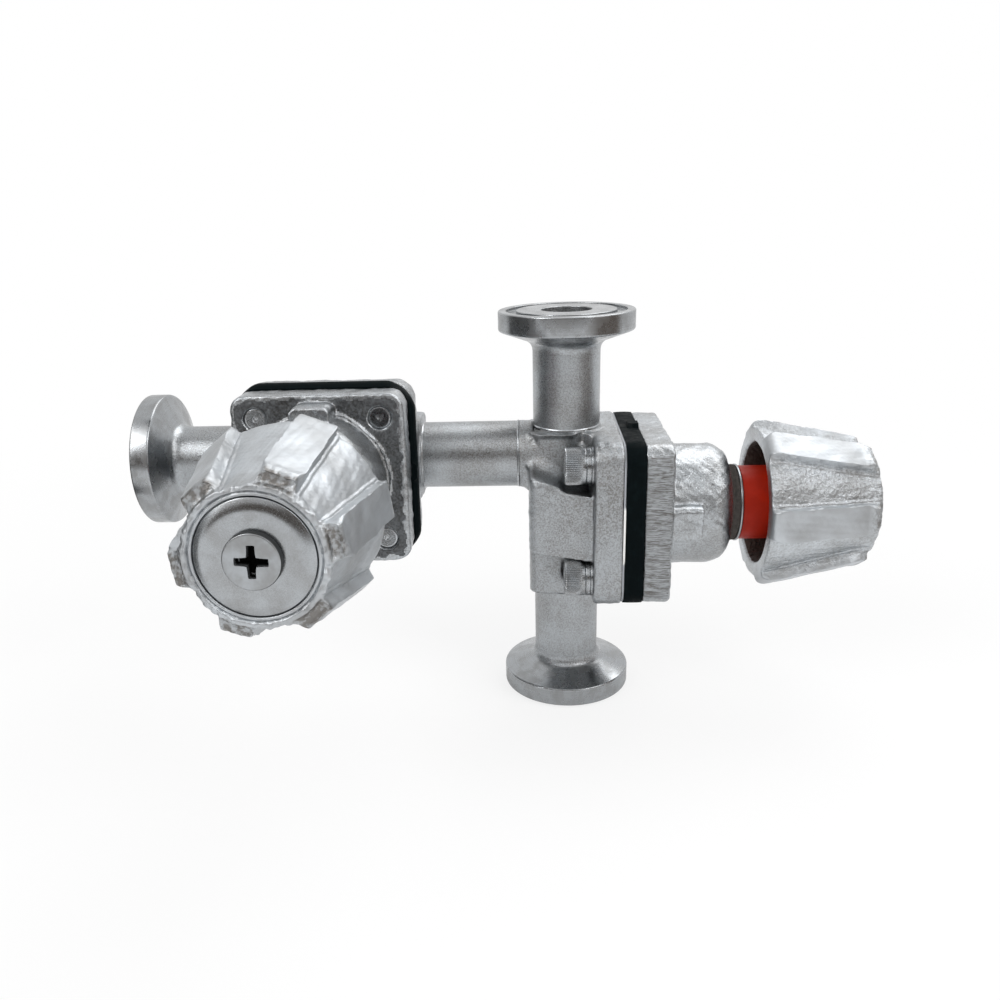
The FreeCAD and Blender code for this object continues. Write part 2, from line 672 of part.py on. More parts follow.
def compressor(suffix):
    """Non-turning piston with a nose for the weir, two keys and a slotted stem."""
    body = new_body("compressor_" + suffix)
    turn(body, "compressor_profile_" + suffix, [
        ("0", PISTON_START),
        ("Sizes.piston_radius - Sizes.piston_chamfer", PISTON_START),
        ("Sizes.piston_radius", "%s + Sizes.piston_chamfer" % PISTON_START),
        ("Sizes.piston_radius", PISTON_END),
        ("Sizes.stem_radius", PISTON_END),
        ("Sizes.stem_radius", STEM_END),
        ("0", STEM_END),
    ])
    nose = new_sketch(body, "nose_" + suffix, "YZ_Plane")
    half_disc(nose, "%s + Sizes.nose_arc_radius" % NOSE_END, "Sizes.nose_arc_radius")
    extrude(body, nose, "Sizes.nose_width", midplane=True)
    keys = new_sketch(body, "keys_" + suffix, height="%s - Sizes.key_length" % PISTON_END)
    rectangle(keys, "-Sizes.key_width / 2", "Sizes.key_width / 2",
              "-Sizes.key_reach", "Sizes.key_reach")
    extrude(body, keys, "Sizes.key_length")
    hole = new_sketch(body, "stud_hole_" + suffix, height=NOSE_END)
    circle(hole, "0", "0", "Sizes.stud_radius + Sizes.running_clearance")
    extrude(body, hole, "Sizes.stud_length + Sizes.slide_clearance", removes=True)
    head_slot = new_sketch(body, "head_slot_" + suffix, height=SLOT_HEAD_START)
    head_half = "(Sizes.spindle_head_radius + Sizes.slide_clearance)"
    rectangle(head_slot, "-" + head_half, past("Sizes.stem_radius"), "-" + head_half, head_half)
    extrude(body, head_slot, "%s - %s" % (SLOT_NECK_START, SLOT_HEAD_START), removes=True)
    neck_slot = new_sketch(body, "neck_slot_" + suffix, height=SLOT_NECK_START)
    neck_half = "(Sizes.spindle_neck_radius + Sizes.slide_clearance)"
    rectangle(neck_slot, "-" + neck_half, past("Sizes.stem_radius"), "-" + neck_half, neck_half)
    extrude(body, neck_slot, "%s - %s" % (STEM_END, SLOT_NECK_START), removes=True)
    place(body, VALVE_FRAME[suffix], LIFT[suffix])


def bonnet(suffix):
    """Bonnet casting: square flange, domed housing with side pads, and a neck."""
    body = new_body("bonnet_" + suffix)
    square_plate(body, "bonnet_flange_" + suffix, BONNET_BASE, "Sizes.bonnet_flange_thickness",
                 "Sizes.bonnet_flange_side", "Sizes.bonnet_flange_corner")
    soften(body, outline_at(BONNET_FACE, "Sizes.bonnet_flange_side / 2"), "Sizes.flange_edge_rounding",
           "bonnet_flange_edge_" + suffix)
    inside = short_of(BONNET_FACE)
    turn(body, "dome_" + suffix, [
        ("0", inside),
        ("Sizes.dome_radius + Sizes.dome_root_flare", inside),
        ("Sizes.dome_radius + Sizes.dome_root_flare", BONNET_FACE),
        ("Sizes.dome_radius", "%s + Sizes.dome_root_flare" % BONNET_FACE),
        ("Sizes.dome_radius", "Sizes.dome_end"),
        ("Sizes.neck_radius", "Sizes.dome_end"),
        ("Sizes.neck_radius", NECK_END),
        ("0", NECK_END),
    ])
    soften(body, ring_at("Sizes.dome_radius", "Sizes.dome_end"), "Sizes.dome_shoulder",
           "dome_shoulder_" + suffix)
    soften(body, ring_at("Sizes.neck_radius", NECK_END), "Sizes.neck_chamfer",
           "neck_chamfer_" + suffix, "Chamfer")
    pad = new_sketch(body, "pads_" + suffix, height=inside)
    rectangle(pad, "-Sizes.pad_width / 2", "Sizes.pad_width / 2",
              "-Sizes.pad_reach", "Sizes.pad_reach")
    extrude(body, pad, past("Sizes.pad_length"))
    soften(body, straight_along("z", abs_x="Sizes.pad_width / 2", abs_y="Sizes.pad_reach"),
           "Sizes.pad_rounding", "pad_rounding_" + suffix)
    guide = "(Sizes.stem_radius + Sizes.running_clearance)"
    seat = "(%s - Sizes.bush_seat_depth)" % NECK_END
    turn(body, "cavity_" + suffix, [
        ("0", short_of(BONNET_BASE)),
        ("Sizes.cavity_radius", short_of(BONNET_BASE)),
        ("Sizes.cavity_radius", "Sizes.cavity_end"),
        (guide, "Sizes.cavity_end"),
        (guide, seat),
        ("Sizes.bush_outer_radius", seat),
        ("Sizes.bush_outer_radius", past(NECK_END)),
        ("0", past(NECK_END)),
    ], removes=True)
    keyways = new_sketch(body, "keyways_" + suffix, height=BONNET_BASE)
    key_half = "(Sizes.key_width / 2 + Sizes.slide_clearance)"
    key_reach = "(Sizes.key_reach + Sizes.slide_clearance)"
    rectangle(keyways, "-" + key_half, key_half, "-" + key_reach, key_reach)
    extrude(body, keyways, "Sizes.cavity_end - %s" % BONNET_BASE, removes=True)
    hole = new_sketch(body, "thread_hole_" + suffix, height=BONNET_BASE)
    circle(hole, SCREW_REACH, SCREW_REACH, "Sizes.screw_radius + Sizes.press_clearance")
    holes = extrude(body, hole, "Sizes.bonnet_flange_thickness", removes=True)
    polar(body, holes, "4", "thread_holes_" + suffix)
    soften(body, ring_at("Sizes.screw_radius + Sizes.press_clearance", BONNET_FACE),
           "Sizes.screw_hole_chamfer", "thread_chamfers_" + suffix, "Chamfer")
    place(body, VALVE_FRAME[suffix])


def spindle_bush(suffix):
    """Threaded bush pressed into the neck; its end flange holds the sleeve."""
    body = new_body("spindle_bush_" + suffix)
    seat_radius = "(Sizes.bush_outer_radius - Sizes.press_clearance)"
    sleeve_end = "(%s + Sizes.sleeve_length)" % NECK_END
    start = "(%s - Sizes.bush_seat_depth)" % NECK_END
    turn(body, "bush_profile_" + suffix, [
        ("Sizes.spindle_radius + Sizes.running_clearance", start),
        (seat_radius, start),
        (seat_radius, sleeve_end),
        ("Sizes.bush_flange_radius", sleeve_end),
        ("Sizes.bush_flange_radius", "%s + Sizes.bush_flange_thickness" % sleeve_end),
        ("Sizes.spindle_radius + Sizes.running_clearance",
         "%s + Sizes.bush_flange_thickness" % sleeve_end),
    ])
    place(body, VALVE_FRAME[suffix])


def indicator_sleeve(suffix):
    """Coloured sleeve that shows between neck and handwheel on an open valve."""
    body = new_body("indicator_sleeve_" + suffix)
    turn(body, "sleeve_profile_" + suffix, [
        ("Sizes.bush_outer_radius", NECK_END),
        ("Sizes.sleeve_radius", NECK_END),
        ("Sizes.sleeve_radius", "%s + Sizes.sleeve_length" % NECK_END),
        ("Sizes.bush_outer_radius", "%s + Sizes.sleeve_length" % NECK_END),
    ])
    place(body, VALVE_FRAME[suffix])


def spindle(suffix):
    """Threaded spindle: button head in the compressor, square end in the wheel."""
    body = new_body("spindle_" + suffix)
    end = "(%s - Sizes.slide_clearance)" % CAP_SEAT
    turn(body, "spindle_profile_" + suffix, [
        ("0", SPINDLE_HEAD_START),
        ("Sizes.spindle_head_radius", SPINDLE_HEAD_START),
        ("Sizes.spindle_head_radius", SPINDLE_NECK_START),
        ("Sizes.spindle_neck_radius", SPINDLE_NECK_START),
        ("Sizes.spindle_neck_radius", SPINDLE_SHAFT_START),
        ("Sizes.spindle_radius", SPINDLE_SHAFT_START),
        ("Sizes.spindle_radius", WHEEL_WEB),
        ("0", WHEEL_WEB),
    ])
    square = new_sketch(body, "spindle_square_" + suffix, height=WHEEL_WEB)
    half = "(Sizes.spindle_square / 2)"
    rectangle(square, "-" + half, half, "-" + half, half)
    extrude(body, square, "%s - %s" % (end, WHEEL_WEB))
    soften(body, straight_along("z", abs_x=half, abs_y=half), "Sizes.spindle_square_rounding",
           "spindle_square_edges_" + suffix)
    tapping = new_sketch(body, "spindle_tapping_" + suffix,
                         height="%s - Sizes.cap_screw_length" % CAP_TOP)
    circle(tapping, "0", "0", "Sizes.cap_screw_radius + Sizes.press_clearance")
    extrude(body, tapping, "Sizes.cap_screw_length", removes=True)
    place(body, VALVE_FRAME[suffix], LIFT[suffix], WHEEL_TURN[suffix])


def handwheel(suffix):
    """Tapered cast handwheel with a deep skirt, grip lobes and a square hub."""
    body = new_body("handwheel_" + suffix)
    cap_seat_radius = "(Sizes.cap_radius + Sizes.slide_clearance)"
    turn(body, "wheel_profile_" + suffix, [
        ("Sizes.wheel_mouth_radius", WHEEL_START),
        ("Sizes.wheel_large_radius", WHEEL_START),
        ("Sizes.wheel_small_radius", WHEEL_END),
        (cap_seat_radius, WHEEL_END),
        (cap_seat_radius, CAP_SEAT),
        ("0", CAP_SEAT),
        ("0", WHEEL_WEB),
        ("Sizes.wheel_cavity_radius", WHEEL_WEB),
    ])
    wall = "((Sizes.wheel_large_radius - Sizes.wheel_mouth_radius) / 2)"
    root_end = "((Sizes.wheel_small_radius + %s) / 2)" % cap_seat_radius
    outline = new_sketch(body, "lobe_" + suffix, "XZ_Plane")
    polygon(outline, [
        ("Sizes.wheel_mouth_radius + %s" % wall, WHEEL_START),
        ("Sizes.lobe_large_radius", WHEEL_START),
        ("Sizes.lobe_small_radius", "%s - Sizes.lobe_end_rounding" % WHEEL_END),
        ("Sizes.lobe_small_radius - Sizes.lobe_end_rounding", WHEEL_END),
        (root_end, WHEEL_END),
    ])
    lobe = extrude(body, outline, "Sizes.lobe_width", midplane=True)
    polar(body, lobe, "Sizes.lobe_count", "lobes_" + suffix)
    socket = new_sketch(body, "wheel_socket_" + suffix, height=WHEEL_WEB)
    half = "(Sizes.spindle_square / 2 + Sizes.running_clearance)"
    rectangle(socket, "-" + half, half, "-" + half, half)
    extrude(body, socket, "%s - %s" % (CAP_SEAT, WHEEL_WEB), removes=True)
    place(body, VALVE_FRAME[suffix], LIFT[suffix], WHEEL_TURN[suffix])


def cap_plate(suffix):
    """Bevelled disc that closes the small end of the handwheel."""
    body = new_body("cap_plate_" + suffix)
    hole = "(Sizes.cap_screw_radius + Sizes.slide_clearance)"
    turn(body, "cap_profile_" + suffix, [
        (hole, CAP_SEAT),
        ("Sizes.cap_radius", CAP_SEAT),
        ("Sizes.cap_radius", "%s - Sizes.cap_chamfer" % CAP_TOP),
        ("Sizes.cap_radius - Sizes.cap_chamfer", CAP_TOP),
        (hole, CAP_TOP),
    ])
    place(body, VALVE_FRAME[suffix], LIFT[suffix], WHEEL_TURN[suffix])


def cap_screw(suffix):
    """Cross-recessed screw that holds cap plate and handwheel on the spindle."""
    body = new_body("cap_screw_" + suffix)
    head_top = "(%s + Sizes.cap_screw_head_height)" % CAP_TOP
    shank_end = "(%s - Sizes.cap_screw_length + Sizes.slide_clearance)" % CAP_TOP
    turn(body, "cap_screw_profile_" + suffix, [
        ("0", shank_end),
        ("Sizes.cap_screw_radius", shank_end),
        ("Sizes.cap_screw_radius", CAP_TOP),
        ("Sizes.cap_screw_head_radius", CAP_TOP),
        ("Sizes.cap_screw_head_radius", "%s - Sizes.cap_screw_head_chamfer" % head_top),
        ("Sizes.cap_screw_head_radius - Sizes.cap_screw_head_chamfer", head_top),
        ("0", head_top),
    ])
    span = "(Sizes.cross_span / 2)"
    width = "(Sizes.cross_width / 2)"
    floor = "%s - Sizes.cross_depth" % head_top
    for number, (half_x, half_y) in enumerate([(span, width), (width, span)]):
        arm = new_sketch(body, "cross_arm_%s%d" % (suffix, number), height=floor)
        rectangle(arm, "-" + half_x, half_x, "-" + half_y, half_y)
        extrude(body, arm, "Sizes.cross_depth", removes=True)
    turned = "%s + %s" % (WHEEL_TURN[suffix], CAP_SCREW_TURN[suffix])
    place(body, VALVE_FRAME[suffix], LIFT[suffix], turned)


def corner_frame(suffix, number, along):
    """Frame of one of the four flange screws, numbered round the bonnet axis."""
    signs = [("", ""), ("-", ""), ("-", "-"), ("", "-")][number]
    return ("%s * placement(vector(%s%s; %s%s; %s); rotation(vector(0; 0; 1); 0))"
            % (VALVE_FRAME[suffix], signs[0], SCREW_REACH, signs[1], SCREW_REACH, along))


def flange_screw(suffix, number):
    """Socket-head cap screw, its bearing face at local z = 0, its tip along +Z."""
    label = "flange_screw_%s%d" % (suffix, number + 1)
    body = new_body(label)
    bearing = "(%s - %s)" % (FLANGE_BACK, WASHER_STACK)
    turn(body, label + "_profile", [
        ("0", "-Sizes.head_height"),
        ("Sizes.head_radius - Sizes.head_rounding", "-Sizes.head_height"),
        ("Sizes.head_radius", "-Sizes.head_height + Sizes.head_rounding"),
        ("Sizes.head_radius", "0"),
        ("Sizes.screw_radius", "0"),
        ("Sizes.screw_radius", "%s - %s - Sizes.screw_recess - Sizes.screw_hole_chamfer"
         % (BONNET_FACE, bearing)),
        ("Sizes.screw_radius - Sizes.screw_hole_chamfer", "%s - %s - Sizes.screw_recess"
         % (BONNET_FACE, bearing)),
        ("0", "%s - %s - Sizes.screw_recess" % (BONNET_FACE, bearing)),
    ])
    hexagon = new_sketch(body, label + "_hexagon", height="-Sizes.head_height")
    flat = "(Sizes.hex_across_flats / 2)"
    corner = "(Sizes.hex_across_flats / sqrt(3))"
    polygon(hexagon, [
        (corner, "0"),
        ("%s / 2" % corner, flat),
        ("-%s / 2" % corner, flat),
        ("-" + corner, "0"),
        ("-%s / 2" % corner, "-" + flat),
        ("%s / 2" % corner, "-" + flat),
    ])
    extrude(body, hexagon, "Sizes.hex_depth", removes=True)
    body.setExpression("Placement", corner_frame(suffix, number, bearing))


def flat_washer(suffix, number):
    label = "flat_washer_%s%d" % (suffix, number + 1)
    body = new_body(label)
    sketch = new_sketch(body, label + "_outline")
    circle(sketch, "0", "0", "Sizes.flat_washer_radius")
    circle(sketch, "0", "0", "Sizes.screw_hole_radius")
    extrude(body, sketch, "Sizes.flat_washer_thickness")
    along = "(%s - Sizes.flat_washer_thickness)" % FLANGE_BACK
    body.setExpression("Placement", corner_frame(suffix, number, along))


def spring_washer(suffix, number):
    """Split ring under the screw head, its gap along local +Y."""
    label = "spring_washer_%s%d" % (suffix, number + 1)
    body = new_body(label)
    sketch = new_sketch(body, label + "_outline")
    circle(sketch, "0", "0", "Sizes.spring_washer_radius")
    circle(sketch, "0", "0", "Sizes.screw_hole_radius")
    extrude(body, sketch, "Sizes.spring_washer_thickness")
    gap = new_sketch(body, label + "_gap")
    half = "(Sizes.spring_washer_gap / 2)"
    rectangle(gap, "-" + half, half, "0", past("Sizes.spring_washer_radius"))
    extrude(body, gap, "Sizes.spring_washer_thickness", removes=True)
    along = "(%s - %s)" % (FLANGE_BACK, WASHER_STACK)
    body.setExpression("Placement", corner_frame(suffix, number, along))


UPWARD = "rotation(vector(0; 0; 1); 0)"
DOWNWARD = "rotation(vector(1; 0; 0); 180)"
LEFTWARD = "rotation(vector(0; 1; 0); -90)"
ferrule("ferrule_bottom", "Sizes.ferrule_length_bottom", "placement(vector(0; 0; 0); %s)" % DOWNWARD)
ferrule("ferrule_top", "Sizes.ferrule_length_top",
        "placement(vector(0; 0; %s + %s + Sizes.ferrule_length_top); %s)" % (RUN_CENTRE, STUB_END, UPWARD))
ferrule("ferrule_left", "Sizes.ferrule_length_left",
        "placement(vector(-Sizes.valve_spacing - %s - Sizes.ferrule_length_left; 0; %s); %s)"
        % (STUB_END, LINK_HEIGHT, LEFTWARD))
link_tube()
for valve in ("a", "b"):
    valve_body(valve, with_branch=(valve == "b"))
    diaphragm_facing(valve)
    diaphragm_rubber(valve)
    diaphragm_stud(valve)
    compressor(valve)
    bonnet(valve)
    spindle_bush(valve)
    indicator_sleeve(valve)
    spindle(valve)
    handwheel(valve)
    cap_plate(valve)
    cap_screw(valve)
    for corner_number in range(4):
        flange_screw(valve, corner_number)
        spring_washer(valve, corner_number)
        flat_washer(valve, corner_number)

doc.recompute()
for item in doc.Objects:
    for bad in ("Invalid", "Error"):
        if bad in item.State:
            raise ValueError("%s is %s" % (item.Name, item.State))
for node in nodes:
    if node.Shape.isNull() or not node.Shape.isValid() or len(node.Shape.Solids) != 1:
        raise ValueError("%s has no single valid solid" % node.Label)

os.makedirs("parts", exist_ok=True)
for node in nodes:
    node.Shape.exportStep("parts/%s.step" % node.Label)
print("%d nodes" % len(nodes))
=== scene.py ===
import json
import math

import bmesh
import bpy
import numpy as np
from mathutils import Matrix, Vector

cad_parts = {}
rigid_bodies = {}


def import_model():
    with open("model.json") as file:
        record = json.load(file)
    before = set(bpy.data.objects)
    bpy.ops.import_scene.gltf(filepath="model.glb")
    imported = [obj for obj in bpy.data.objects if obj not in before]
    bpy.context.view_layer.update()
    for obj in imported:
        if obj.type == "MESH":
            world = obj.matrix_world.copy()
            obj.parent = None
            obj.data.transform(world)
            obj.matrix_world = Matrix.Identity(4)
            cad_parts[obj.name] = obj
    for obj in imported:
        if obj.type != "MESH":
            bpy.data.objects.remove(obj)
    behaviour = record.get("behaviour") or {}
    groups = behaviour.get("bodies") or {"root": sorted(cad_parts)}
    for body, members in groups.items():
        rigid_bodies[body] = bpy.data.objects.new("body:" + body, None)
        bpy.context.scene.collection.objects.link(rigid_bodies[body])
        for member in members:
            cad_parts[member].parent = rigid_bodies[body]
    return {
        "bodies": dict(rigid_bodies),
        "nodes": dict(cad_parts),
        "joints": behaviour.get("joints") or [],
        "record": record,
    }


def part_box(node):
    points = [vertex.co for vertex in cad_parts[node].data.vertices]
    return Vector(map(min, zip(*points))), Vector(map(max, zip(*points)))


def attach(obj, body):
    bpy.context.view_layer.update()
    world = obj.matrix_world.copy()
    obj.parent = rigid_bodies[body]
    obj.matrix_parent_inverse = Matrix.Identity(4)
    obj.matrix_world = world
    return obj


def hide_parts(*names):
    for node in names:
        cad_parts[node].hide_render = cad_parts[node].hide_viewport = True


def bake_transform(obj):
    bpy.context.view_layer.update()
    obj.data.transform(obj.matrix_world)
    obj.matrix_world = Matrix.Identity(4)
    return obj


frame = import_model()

bl_info = {
    "name": "Sanitary diaphragm valve manifold",
    "version": (1, 0, 0),
    "blender": (4, 5, 0),
    "location": "View3D > Sidebar > Valve",
    "description": "Dresses a two-valve clamp ferrule manifold in cast, blasted and turned steel",
    "category": "Object",
}

MM = 0.001
TURN = 2 * math.pi
VALVES = ("a", "b")
MANIFOLD = "manifold"
WAVE_COUNT = 9
RECORD = frame["record"]
MOUNTS = {mount["name"]: mount for mount in RECORD["mounts"]}
JOINTS = {joint["name"]: joint for joint in RECORD["behaviour"]["joints"]}


def top_of(node):
    """Highest place of one of the right valve's nodes along its spindle, which lies on X."""
    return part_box(node)[1].x


def start_of(node):
    """Lowest place of one of the right valve's nodes along its spindle."""
    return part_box(node)[0].x


class Valve:
    """A valve's own frame: x along its run, z along its spindle, its origin where they meet."""

    def __init__(self, suffix):
        slide = JOINTS["compressor_slide_" + suffix]
        hinge = JOINTS["handwheel_turn_" + suffix]
        spindle_axis = Vector(slide["axis"]).normalized()
        run_axis = Vector((1, 0, 0)) if suffix == "a" else Vector((0, 0, 1))
        cross_axis = spindle_axis.cross(run_axis)
        turned = Matrix((run_axis, cross_axis, spindle_axis)).transposed().to_4x4()
        self.suffix = suffix
        self.frame = Matrix.Translation(Vector(hinge["pos_m"])) @ turned
        self.lift = -slide["range_m"][0]
        self.body = MANIFOLD
        self.compressor = "compressor_" + suffix
        self.wheel = "handwheel_" + suffix

    def lifted(self):
        """The frame carried along the spindle by the compressor's lift at rest."""
        return self.frame @ Matrix.Translation((0, 0, self.lift))


def settings():
    return bpy.context.scene.valve_sizes


def colours():
    return bpy.context.scene.valve_colours


def steels():
    """The light and the dark colour of plain steel."""
    return tuple(colours().steel), tuple(colours().shaded_steel)


class ValveSizes(bpy.types.PropertyGroup):
    edge_round: bpy.props.FloatProperty(
        name="Edge rounding", description="Radius on turned edges",
        default=0.3 * MM, min=0, precision=5, unit="LENGTH")
    rim_round: bpy.props.FloatProperty(
        name="Rim rounding", description="Radius on the ferrules' outer edge",
        default=0.35 * MM, min=0, precision=5, unit="LENGTH")
    neck_fillet: bpy.props.FloatProperty(
        name="Ferrule neck fillet", description="How far the fillet between tube and rim cone reaches",
        default=1.7 * MM, min=0, precision=5, unit="LENGTH")
    weld_width: bpy.props.FloatProperty(
        name="Weld width", description="Width of the seam welds between tubes and bodies",
        default=0.45 * MM, min=0, precision=5, unit="LENGTH")
    weld_height: bpy.props.FloatProperty(
        name="Weld height", description="How far a seam weld stands above its tube",
        default=0.03 * MM, min=0, precision=5, unit="LENGTH")
    cast_wander: bpy.props.FloatProperty(
        name="Casting waviness", description="How far cast surfaces wander from their true form",
        default=0.09 * MM, min=0, precision=5, unit="LENGTH")
    knurl_depth: bpy.props.FloatProperty(
        name="Knurl depth", description="Depth of the knurls on the screw heads",
        default=0.2 * MM, min=0, precision=5, unit="LENGTH")
    knurl_count: bpy.props.IntProperty(
        name="Knurls", description="Number of knurls round a screw head", default=60, min=3)


class ValveColours(bpy.types.PropertyGroup):
    steel: bpy.props.FloatVectorProperty(
        name="Steel", description="Colour of clean stainless steel", subtype="COLOR",
        default=(0.438, 0.462, 0.484), size=3, min=0, max=1)
    shaded_steel: bpy.props.FloatVectorProperty(
        name="Shaded steel", description="Colour of the darker, oxidised patches", subtype="COLOR",
        default=(0.222, 0.214, 0.205), size=3, min=0, max=1)
    rubber: bpy.props.FloatVectorProperty(
        name="Rubber", description="Colour of the diaphragm's rubber", subtype="COLOR",
        default=(0.0022, 0.0042, 0.0048), size=3, min=0, max=1)
    facing: bpy.props.FloatVectorProperty(
        name="Facing", description="Colour of the diaphragm's white facing", subtype="COLOR",
        default=(0.82, 0.82, 0.8), size=3, min=0, max=1)
    sleeve: bpy.props.FloatVectorProperty(
        name="Indicator sleeve", description="Red of the position indicator", subtype="COLOR",
        default=(0.42, 0.018, 0.005), size=3, min=0, max=1)
    floor: bpy.props.FloatVectorProperty(
        name="Floor", description="Colour of the studio floor", subtype="COLOR",
        default=(0.86, 0.86, 0.86), size=3, min=0, max=1)


def rounded(corners, rounds, closed=True, steps=5):
    """Outline of (radius, height) corners with each corner rounded.

    A corner P with unit directions a and b to its neighbours becomes the curve
    P + t (1 - s)^2 a + t s^2 b for s from 0 to 1, where t is the reach of its rounding.
    """
    corners = np.asarray(corners, float)
    reach = np.broadcast_to(np.asarray(rounds, float), len(corners)).copy()
    to_last = np.roll(corners, 1, 0) - corners
    to_next = np.roll(corners, -1, 0) - corners
    last_length = np.linalg.norm(to_last, axis=1)
    next_length = np.linalg.norm(to_next, axis=1)
    reach = np.minimum(reach, 0.49 * np.minimum(last_length, next_length))
    if not closed:
        reach[0] = reach[-1] = 0
    along = np.linspace(0, 1, steps)[None, :, None]
    back = (to_last / last_length[:, None] * reach[:, None])[:, None, :]
    ahead = (to_next / next_length[:, None] * reach[:, None])[:, None, :]
    curve = corners[:, None, :] + back * (1 - along) ** 2 + ahead * along ** 2
    return curve.reshape(-1, 2)


def evenly(outline, spacing, closed=True):
    """The outline with points added so that no side is longer than spacing."""
    ends = np.vstack([outline, outline[:1]]) if closed else outline
    sides = np.diff(ends, axis=0)
    counts = np.maximum(1, np.ceil(np.linalg.norm(sides, axis=1) / spacing)).astype(int)
    owner = np.repeat(np.arange(len(sides)), counts)
    first = np.cumsum(counts) - counts
    share = (np.arange(len(owner)) - first[owner]) / counts[owner]
    points = ends[owner] + sides[owner] * share[:, None]
    return points if closed else np.vstack([points, outline[-1:]])


def surface(name, points, place, closed_u=True, closed_v=True, crease=35.0, marks=None, capped=False):
    """Mesh object over a grid of points, one quad between each four neighbours.

    Where it is capped, one flat face closes the first row and one the last. Marks are named
    numbers, one for each point, that a material may read.
    """
    rows, columns = points.shape[:2]
    index = np.arange(rows * columns).reshape(rows, columns)
    if closed_u:
        index = np.vstack([index, index[:1]])
    if closed_v:
        index = np.hstack([index, index[:, :1]])
    quads = np.stack([index[:-1, :-1], index[1:, :-1], index[1:, 1:], index[:-1, 1:]], axis=-1)
    faces = quads.reshape(-1, 4).tolist()
    if capped:
        faces += [index[0, :columns].tolist(), index[-1, :columns].tolist()]
    mesh = bpy.data.meshes.new(name)
    mesh.from_pydata(points.reshape(-1, 3).tolist(), [], faces)
    for label, values in (marks or {}).items():
        mark = mesh.attributes.new(label, "FLOAT", "POINT")
        mark.data.foreach_set("value", values.astype(np.float32).ravel())
    return finished(name, mesh, place, crease)


def finished(name, mesh, place, crease=35.0):
    """Object for a mesh that is welded, turned outwards, put in place and smoothed."""
    shape = bmesh.new()
    shape.from_mesh(mesh)
    bmesh.ops.remove_doubles(shape, verts=shape.verts, dist=0.0005 * MM)
    bmesh.ops.recalc_face_normals(shape, faces=shape.faces)
    shape.to_mesh(mesh)
    shape.free()
    mesh.transform(place)
    mesh.polygons.foreach_set("use_smooth", np.ones(len(mesh.polygons), bool))
    mesh.set_sharp_from_angle(angle=math.radians(crease))
    mesh.update()
    return add_object(name, mesh)


def add_object(name, data):
    """New object in the scene for a mesh, a lamp or the camera."""
    item = bpy.data.objects.new(name, data)
    bpy.context.scene.collection.objects.link(item)
    return item


def all_round(count):
    """Angles of a number of even steps round the z axis."""
    return np.arange(count) * TURN / count


def ring_corners(inner, outer, low, high):
    """(radius, height) corners of a plain ring."""
    return np.array([(inner, low), (outer, low), (outer, high), (inner, high)])


def turned_points(radius, angle, height):
    """Points (r cos t, r sin t, z) of a grid whose rows have r and z and whose columns have t."""
    return np.stack(np.broadcast_arrays(radius * np.cos(angle), radius * np.sin(angle), height), -1)


def lathe(name, outline, place, closed=True, segments=128, crease=35.0):
    """Turned piece: each (r, z) of the outline goes once round the z axis."""
    points = turned_points(outline[:, :1], all_round(segments), outline[:, 1:])
    return surface(name, points, place, closed_u=closed, crease=crease)


def waves(x, y, z, seed, scale):
    """Smooth wander from -1 to 1: a sum of sine waves in fixed directions of length scale."""
    rng = np.random.default_rng(seed)
    total = np.zeros(np.broadcast(x, y, z).shape)
    for _ in range(WAVE_COUNT):
        direction = rng.normal(size=3)
        direction *= TURN / scale / np.linalg.norm(direction) * rng.uniform(0.6, 1.6)
        total += np.sin(direction[0] * x + direction[1] * y + direction[2] * z + rng.uniform(0, TURN))
    return total / math.sqrt(WAVE_COUNT)


def smooth_step(value, low, high):
    """0 below low, 1 above high, and 3 s^2 - 2 s^3 between them."""
    share = np.clip((value - low) / (high - low), 0, 1)
    return share * share * (3 - 2 * share)


def bell(distance, width):
    """The bell curve exp(-(d / w)^2)."""
    return np.exp(-(distance / width) ** 2)


class Signal:
    """A shader socket that takes part in sums as a number does."""

    def __init__(self, nodes, socket):
        self.nodes = nodes
        self.socket = socket

    def maths(self, operation, first, second):
        return self.nodes.node("ShaderNodeMath", {"operation": operation}, {0: first, 1: second})

    def __add__(self, other):
        return self.maths("ADD", self, other)

    def __radd__(self, other):
        return self.maths("ADD", other, self)

    def __sub__(self, other):
        return self.maths("SUBTRACT", self, other)

    def __rsub__(self, other):
        return self.maths("SUBTRACT", other, self)

    def __mul__(self, other):
        return self.maths("MULTIPLY", self, other)

    def __rmul__(self, other):
        return self.maths("MULTIPLY", other, self)

    def __pow__(self, other):
        return self.maths("POWER", self, other)

    def larger(self, other):
        return self.maths("MAXIMUM", self, other)


class Nodes:
    """The nodes of a material or of the world; every node comes from the one method below."""

    def __init__(self, tree):
        self.tree = tree

    def node(self, kind, choices, values, output=0):
        """A node of one kind: its choices are set first, then its sockets get values or links."""
        made = self.tree.nodes.new(kind)
        for label, choice in choices.items():
            setattr(made, label, choice)
        for label, value in values.items():
            socket = made.inputs[label]
            if isinstance(value, Signal):
                self.tree.links.new(value.socket, socket)
            else:
                socket.default_value = value
        return Signal(self, made.outputs[output])

    def ray(self, kind):
        """1 on the rays of one kind, such as Camera, and 0 on all others."""
        return self.node("ShaderNodeLightPath", {}, {}, "Is " + kind + " Ray")


